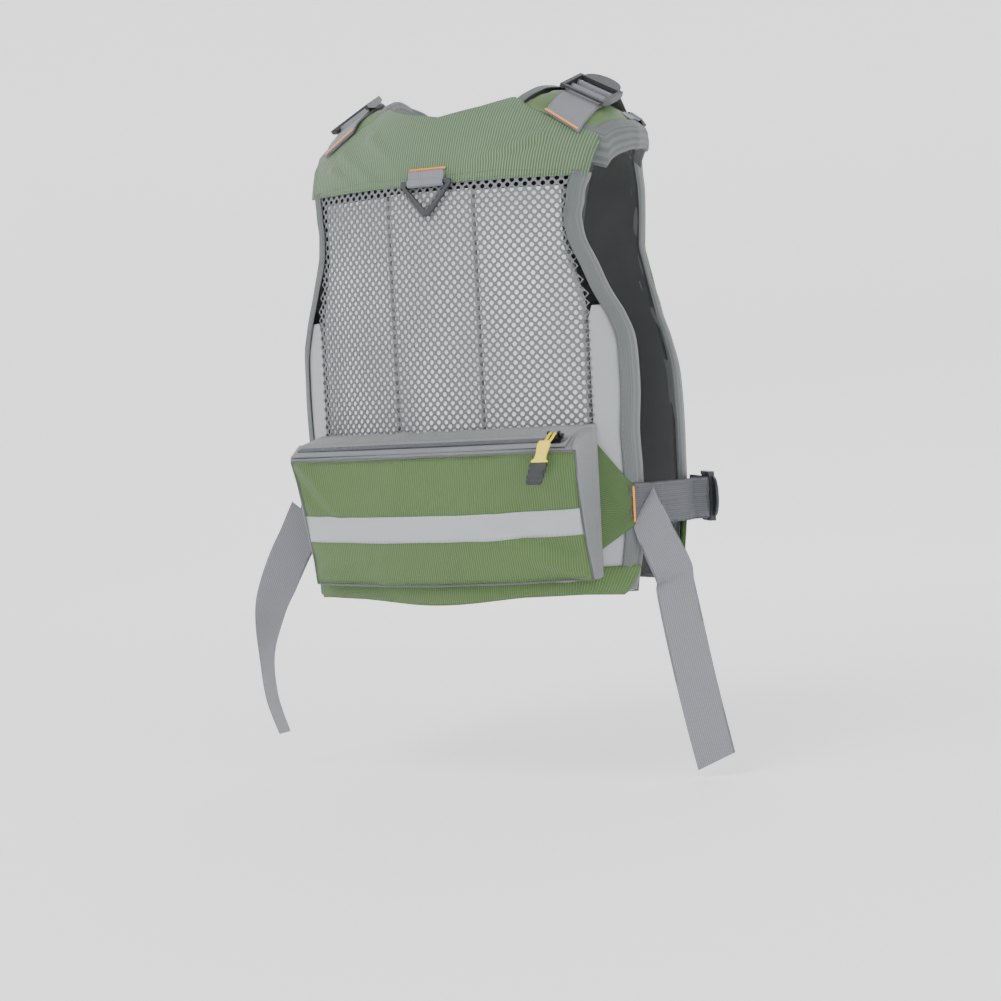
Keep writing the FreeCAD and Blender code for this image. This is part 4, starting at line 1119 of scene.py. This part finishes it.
SHOULDER_LOCK = (Vector((0.121773, 0.025343, 0.467308)), Vector((0.881002, -0.04035, -0.471388)),
                 Vector((-0.123817, 0.941967, -0.312039)), Vector((0.456623, 0.333273, 0.824879)))
SEWN = [(0.034, -0.0034), (0.02, -0.0032), (0.008, -0.003), (0.001, -0.0027), (-0.0024, -0.0012),
        (-0.0026, 0.0008), (-0.001, 0.0026), (0.0012, 0.0027), (0.0035, 0.0012), (0.008, -0.0012),
        (0.02, -0.0019), (0.034, -0.0021)]
GRIP = [(-0.033, -0.0035), (-0.026, -0.0034), (-0.017, -0.0032), (-0.0118, -0.0015), (-0.0112, 0.0008),
        (-0.0128, 0.0026), (-0.0152, 0.0027), (-0.0176, 0.0008), (-0.021, -0.0012), (-0.027, -0.0019),
        (-0.035, -0.0020)]

for hand, way in (("left", 1), ("right", -1)):
    local = lock_frame(*SHOULDER_LOCK, way)
    landing = []
    for ahead in (0.058, 0.05, 0.042):
        spot = local(0, ahead, 0)
        slope = over_shoulder(spot.x + 0.004, spot.y, 0.02) - over_shoulder(spot.x - 0.004, spot.y, 0.02)
        landing.append((over_shoulder(spot.x, spot.y, 0.0192), slope.normalized() * way))
    lifted = [(spot + Vector((0, 0.0006, 0.001)), slope) for spot, slope in reversed(landing)]
    sewn = thick(webbing(landing + loop_route(local, SEWN[1:-1]) + lifted, 0.11, rows=70))
    end, slope = lifted[-1]
    lift = Vector((0, 0.0012, 0.0016))
    half = slope * 0.0185
    bar_tack(f"shoulder_tack_{hand}", end - half + lift, end + half + lift, (0, 0.6, 0.8))
    sewn_piece = make(f"shoulder_sewn_webbing_{hand}", sewn, webbing_grey, body=None,
                      stands_for=[f"shoulder_strap_{hand}"])
    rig.blend(sewn_piece, "vest", f"shoulder_buckle_{hand}", start=local(0, 0.02, -0.003),
             end=local(0, 0.003, 0))

# ---- Front shoulder straps ----
# Long webbing climbs each pad from the front, passes round the second bar of the shoulder lock
# and ends under itself.

for hand, way in (("left", 1), ("right", -1)):
    local = lock_frame(*SHOULDER_LOCK, way)
    across = (local(1, 0, 0) - local(0, 0, 0)).normalized()
    lay = Vector((way * 0.87, 0.02, -0.47))
    run = [(Vector((way * 0.1245, -0.068, 0.442)), lay), (Vector((way * 0.1235, -0.058, 0.4485)), lay),
           (Vector((way * 0.1225, -0.046, 0.4565)), lay), (Vector((way * 0.1215, -0.034, 0.4635)), lay)]
    route = run + loop_route(local, GRIP[:-1])
    strap = thick(webbing(route, 0.11, rows=80))
    piece = make(f"shoulder_front_webbing_{hand}", strap, webbing_grey, body=None,
                 stands_for=[f"shoulder_webbing_{hand}"])
    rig.blend(piece, "vest", f"shoulder_buckle_{hand}", start=local(0, -0.034, 0), end=local(0, -0.02, 0))

WAIST_LOCK = (Vector((0.196509, -0.038459, 0.083)), Vector((0, 0, 1)), Vector((-0.48481, -0.87462, 0)),
              Vector((0.87462, -0.48481, 0)))
HIP = 0.09


def on_side(turn, z, out, way):
    """Point on the side of the body, turn degrees round from the back."""
    radius = HIP + out
    angle = math.radians(turn)
    return Vector((way * (HIP + radius * math.sin(angle)), radius * math.cos(angle), z))


UP = Vector((0, 0, 1))
for hand, way in (("left", 1), ("right", -1)):
    local = lock_frame(*WAIST_LOCK, way)
    sewn = loop_route(local, [(0.047, -0.0048)] + SEWN[1:-1] + [(0.047, -0.0034)])
    piece = make(f"waist_sewn_webbing_{hand}", thick(webbing(sewn, 0.1, rows=60)), webbing_grey, body=None,
                 stands_for=[f"waist_anchor_{hand}"])
    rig.blend(piece, "vest", f"waist_buckle_{hand}", start=local(0, 0.02, -0.003), end=local(0, 0.003, 0))
    run = [(on_side(turn, 0.083, 0.0196, way), UP) for turn in (42, 52, 62, 72, 82, 90)]
    route = run + loop_route(local, GRIP[:-1])
    strap = thick(webbing(route, 0.165, rows=110))
    piece = make(f"waist_run_webbing_{hand}", strap, webbing_grey, body=None)
    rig.blend(piece, "vest", f"waist_buckle_{hand}", start=local(0, -0.036, 0), end=local(0, -0.02, 0))


# ---- Waist strap ends ----
# The free end of each waist strap hangs at the hip from the wing's edge. The right one is folded
# over where it leaves the wing, and each has a crease lower down.


def leaning(right, rise, depth):
    """Way across a strap: so far to the right, up and forward, as seen from behind the right hip."""
    return Vector((-0.92 * right + 0.39 * depth, -0.39 * right - 0.92 * depth, rise))


TAILS = {
    "left": ([((0.1745, 0.0735, 0.083), (30, -26, 0)), ((0.184, 0.0755, 0.062), (38, -18, 0)),
              ((0.196, 0.0765, 0.041), (36, -13, 4)), ((0.2115, 0.0735, 0.013), (34, -6, 12)),
              ((0.224, 0.07, -0.0146), (27, -4, 26)), ((0.2305, 0.069, -0.056), (12, 0, 36)),
              ((0.228, 0.068, -0.098), (8, 0, 37)), ((0.2165, 0.067, -0.1335), (7, -3, 37))], 0.23),
    "right": ([((-0.1735, 0.0735, 0.082), (28, 44, 0)), ((-0.1765, 0.0755, 0.074), (31, 40, 0)),
               ((-0.186, 0.0715, 0.048), (31, 30, 0)), ((-0.1965, 0.066, 0.020), (31, 20, -6)),
               ((-0.1975, 0.0645, 0.005), (41, 13, 8)), ((-0.2025, 0.061, -0.0315), (41, 15, 0)),
               ((-0.210, 0.0565, -0.080), (41, 15, 0)), ((-0.218, 0.0535, -0.1235), (41, 15, 2)),
               ((-0.225, 0.0515, -0.1575), (41, 17, 4))], 0.25),
}
for hand, (points, length) in TAILS.items():
    route = [(Vector(spot), leaning(*lean)) for spot, lean in points]
    tail = make(f"waist_tail_{hand}", thick(webbing(route, length, rows=110)), webbing_grey,
                stands_for=[f"waist_strap_{hand}"])
    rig.sheet(tail, flat=(WIDE, length), held="hung", rests_on=[f"waist_run_webbing_{hand}"])

# ---- Buckles and rings ----
# The four ladder locks, the hang ring, the D ring and the hem buckle are moulded black acetal.

locks = plain("buckle_plastic", colour(44, 45, 48), 0.42, 60.0, 0.3, 1600.0, 0.0002)
refinish(["shoulder_buckle_left", "shoulder_buckle_right", "waist_buckle_left", "waist_buckle_right",
          "triangle_ring", "gear_ring", "front_buckle_plug", "front_buckle_socket"], locks)

# ---- Hang loop ----
# A short loop of the strap webbing holds the triangle ring under the yoke's edge.

HANG = [(-0.0012, 0.0105), (-0.0012, 0.004), (-0.0032, -0.0002), (-0.0022, -0.0026), (0.0002, -0.0032),
        (0.0028, -0.0018),
        (0.0032, 0.0005), (0.0022, 0.0024), (-0.0004, 0.0042), (-0.0008, 0.0112)]
hang_route = [(Vector((0, 0.137168 + y, 0.386 + z)), Vector((1, 0, 0))) for y, z in HANG]
make("hang_webbing", thick(webbing(hang_route, 0.036, width=0.036, rows=40), 0.001), webbing_grey,
     stands_for=["hang_loop"])

# ---- Front panels ----
# Each front half is a foam slab between a dark lining and a green cover, bound at the armhole and
# joined to its pad at the shoulder.

FRONT_INNER = [(0.0, 0.009), (0.379, 0.009), (0.399, 0.045), (0.437, 0.0738), (0.4445, 0.0828)]
FRONT_OUTER = [(0.0, 0.1566), (0.06, 0.1656), (0.196, 0.1656), (0.264, 0.144), (0.328, 0.126),
               (0.397, 0.1314),
               (0.427, 0.135), (0.4445, 0.0835)]
FRONT_FOAM = [(0.0, 0.1476), (0.064, 0.1584), (0.193, 0.1584), (0.261, 0.1368), (0.328, 0.1188),
              (0.4, 0.1188)]


def front_shape(way, out, rough_out=0.0, low=0.0005, high=0.444):
    def place(u, v):
        z = low + (high - low) * v
        inner, outer = along(FRONT_INNER, z), along(FRONT_OUTER, z)
        x = inner + (outer - inner) * u
        puff = rough_out * (math.sin(math.pi * u) * math.sin(math.pi * v)) ** 0.4
        puff += 0.4 * rough_out * noise.noise(Vector((u * 5, v * 12, way)))
        return on_body(way * x, z, out + puff, -1)
    return cloth_grid(34, 90, place, 0.15, 0.45)


for hand, way in (("left", 1), ("right", -1)):
    make(f"front_lining_{hand}_cloth", front_shape(way, 0.001), lining_cloth,
         stands_for=[f"front_lining_{hand}"], wall=0.0009, outward=(0, 0, 0.2))
    inner = lambda z, way=way: way * max(0.019, along(FRONT_INNER, z) + 0.01)
    outer = lambda z, way=way: way * along(FRONT_FOAM, z)
    foam_slab = make(f"foam_front_{hand}", slab(inner, outer, 0.009, 0.386, 0.0019, 0.0148, -1), foam_white,
                     stands_for=[f"front_foam_{hand}"], outward=(0, 0, 0.2))
    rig.padded(eased(foam_slab, 0.003), 0.9)
    cover = make(f"front_cover_{hand}", front_shape(way, 0.0173, 0.0012), green,
                 stands_for=[f"front_panel_{hand}"], wall=0.0011, outward=(0, 0, 0.2))
    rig.sheet(cover, flat=(0.16, 0.47), held="stretched", rests_on=[f"front_lining_{hand}_cloth"])
    edge = [(x, z) for z, x in FRONT_OUTER[1:-1]]
    binding = tape_shape(way, edge, 0.009, 0.0193, 0.0002, 80, -1)
    make(f"front_armhole_tape_{hand}", binding, tape_grey, wall=0.0008, outward=(0, 0, 0.25))

# ---- Front zip ----
# One open-ended coil zip closes the front, a tape sewn to each half; the slider carries a rubber
# puller.

FRONT_FACE = -0.138
for hand, way in (("left", 1), ("right", -1)):
    tape = zip_tape(Vector((way * 0.00805, FRONT_FACE - 0.0009, 0.212)), Vector((0, 0, -1)),
                    Vector((1, 0, 0)), 0.318, 0.0155)
    make(f"front_zip_tape_{hand}", tape, zip_cloth, stands_for=[f"center_zip_{hand}"], wall=0.0007,
         outward=(0, 0, 0.2))
teeth = teeth_row(Vector((0, FRONT_FACE - 0.0021, 0.212)), Vector((0, 0, -1)), Vector((1, 0, 0)), 0.312)
make("front_zip_teeth", teeth, teeth_grey)

# ---- Front pockets ----
# A bellows pocket is sewn on each front half: green face with eased edges and an upright zip.


def pouch_shape(way):
    pouch = bmesh.new()
    bmesh.ops.create_cube(pouch, size=1)
    bmesh.ops.subdivide_edges(pouch, edges=pouch.edges, cuts=17, use_grid_fill=True)
    for vert in pouch.verts:
        u, v, w = (c + 0.5 for c in vert.co)
        draw_in = 0.004 * w * (1 - math.sin(math.pi * v) * math.sin(math.pi * u)) if 0.02 < w else 0
        x = 0.033 + draw_in + (0.1028 - 2 * draw_in) * u
        z = 0.063 + draw_in + (0.136 - 2 * draw_in) * v
        crown = 0.0016 * math.sin(math.pi * u) * math.sin(math.pi * v) - 0.0018
        ripple = 0.0008 * noise.noise(Vector((u * 5, v * 7, way)))
        vert.co = on_body(way * x, z, 0.0182 + (0.0235 + crown + ripple) * w, -1)
    bmesh.ops.recalc_face_normals(pouch, faces=pouch.faces)
    map_flat(pouch, "x", "z")
    return pouch


POUCH_ZIP = Vector((0.044, -0.158293, 0.131))
POUCH_ACROSS = Vector((0.987753, 0.156028, 0.0))
for hand, way in (("left", 1), ("right", -1)):
    pouch = make(f"front_pouch_{hand}", pouch_shape(way), green, stands_for=[f"front_pocket_{hand}"])
    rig.padded(eased(pouch, 0.003, 3), 0.5)
    turned = Vector((way, 1, 1))
    middle = POUCH_ZIP * turned
    across = POUCH_ACROSS * turned * way
    out_way = Vector((0, 0, -1)).cross(across)
    tape = zip_tape(middle + out_way * 0.0004, Vector((0, 0, -1)), across, 0.126, 0.02)
    make(f"pouch_zip_tape_{hand}", tape, zip_cloth, wall=0.0007, outward=(0, 0, 0.13))
    coils = teeth_row(middle + out_way * 0.0018, Vector((0, 0, -1)), across, 0.122)
    make(f"pouch_zip_teeth_{hand}", coils, teeth_grey)

refinish(["front_slider_left", "front_slider_right", "center_slider"], slider_metal)
refinish(["front_pull_left", "front_pull_right", "center_pull"], black_plastic)

# ---- Hem straps ----
# Narrow 25 mm webbing crosses the hem to the side release buckle.

for hand, way in (("left", 1), ("right", -1)):
    steps = (0.121, 0.1, 0.08, 0.06, 0.04, 0.024, 0.0165)
    route = [(on_body(way * x, 0.025, 0.0197, -1), UP) for x in steps]
    make(f"hem_webbing_{hand}", thick(webbing(route, 0.12, width=0.025, rows=40)), webbing_grey,
         stands_for=[f"front_strap_{hand}"])

# ---- Gear ring loop ----
# A short narrow loop on the right pad's outer edge holds the D ring.

GEAR_AXIS = Vector((0.811707, -0.121434, 0.571301))
GEAR_PIN = Vector((-0.15174, -0.018895, 0.445896))
gear_back = Vector((0, 0.978148, 0.207912))
gear_out = GEAR_AXIS.cross(gear_back) * -1
if gear_out.z < 0:
    gear_out = -gear_out
LOOP = [(0.028, -0.0018), (0.014, -0.002), (0.004, -0.0024), (-0.0016, -0.0018), (-0.0026, 0.0004),
        (-0.0008, 0.0025),
        (0.002, 0.0018), (0.006, -0.0004), (0.014, -0.0008), (0.028, -0.0012)]
gear_route = []
for y, z in LOOP:
    spot = GEAR_PIN + gear_back * y + gear_out * z
    if y > 0.005:
        lift = 0.0186 if z > -0.001 or y < 0.01 and z > -0.0005 else 0.0172
        lift += 0.0004
        spot = over_shoulder(spot.x, spot.y, lift)
    gear_route.append((spot, GEAR_AXIS))
make("gear_loop_webbing", thick(webbing(gear_route, 0.06, width=0.013, rows=40), 0.0009), webbing_grey,
     stands_for=["gear_ring_loop"])

# ---- Floor, light and camera ----
# A round pale floor that glows a little and rises into a wall, with three soft lamps: a key over
# the back, a fill on the wearer's right and one in front.

FLOOR = cad_box[0][2] - 0.02
sweep = plain("floor_pale", (0.9, 0.9, 0.9, 1), 0.9, 2.0, 0.02)
sweep.node_tree.nodes["Principled BSDF"].inputs["Emission Color"].default_value = (1, 1, 1, 1)
sweep.node_tree.nodes["Principled BSDF"].inputs["Emission Strength"].default_value = 0.45


def sweep_place(u, v):
    """Round floor that curves up into a wall on every side."""
    run = 0.0001 + 6.5 * v
    turn = min(max(run - 2.4, 0), math.pi / 2)
    wide = min(run, 2.4) + math.sin(turn)
    high = 1 - math.cos(turn) + max(run - 2.4 - math.pi / 2, 0)
    round_way = 2 * math.pi * u
    return Vector((wide * math.cos(round_way), wide * math.sin(round_way), FLOOR + high))


floor = make("floor", cloth_grid(96, 60, sweep_place, 8, 9), sweep, body=None, outward=(0, 0, 9))
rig.stage(floor)


def lamp(name, place, aim, size, power):
    data = bpy.data.lights.new(name, "AREA")
    data.size = size
    data.energy = power
    light = bpy.data.objects.new(name, data)
    light.location = place
    light.rotation_euler = (Vector(aim) - Vector(place)).to_track_quat("-Z", "Y").to_euler()
    bpy.context.scene.collection.objects.link(light)


lamp("key", (0.5, 1.7, 2.4), (0, 0, 0.25), 1.3, 40)
lamp("fill", (-2.4, 1.2, 0.9), (0, 0, 0.2), 1.8, 12)
lamp("front", (0.5, -2.4, 1.6), (0, 0, 0.2), 1.8, 18)
world = bpy.data.worlds.new("studio")
world.use_nodes = True
world.node_tree.nodes["Background"].inputs[0].default_value = (0.93, 0.95, 1, 1)
world.node_tree.nodes["Background"].inputs[1].default_value = 0.5
bpy.context.scene.world = world

camera = bpy.data.objects.new("camera", bpy.data.cameras.new("camera"))
camera.data.lens = 79
camera.data.sensor_width = 36
turn, tilt, away = math.radians(23), math.radians(2.5), 2.15
target = Vector((0.0, 0.0, 0.086))
back_off = Vector((-math.sin(turn) * math.cos(tilt), math.cos(turn) * math.cos(tilt), math.sin(tilt)))
camera.location = target + back_off * away
look = (-back_off).to_track_quat("-Z", "Y").to_matrix()
camera.rotation_euler = (look @ Matrix.Rotation(math.radians(-2.9), 3, "Z")).to_euler()
bpy.context.scene.collection.objects.link(camera)
bpy.context.scene.camera = camera

with open("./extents.json", "w") as kept:
    json.dump([[list(p) for p in cad_box], [list(p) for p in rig.bounds()]], kept)
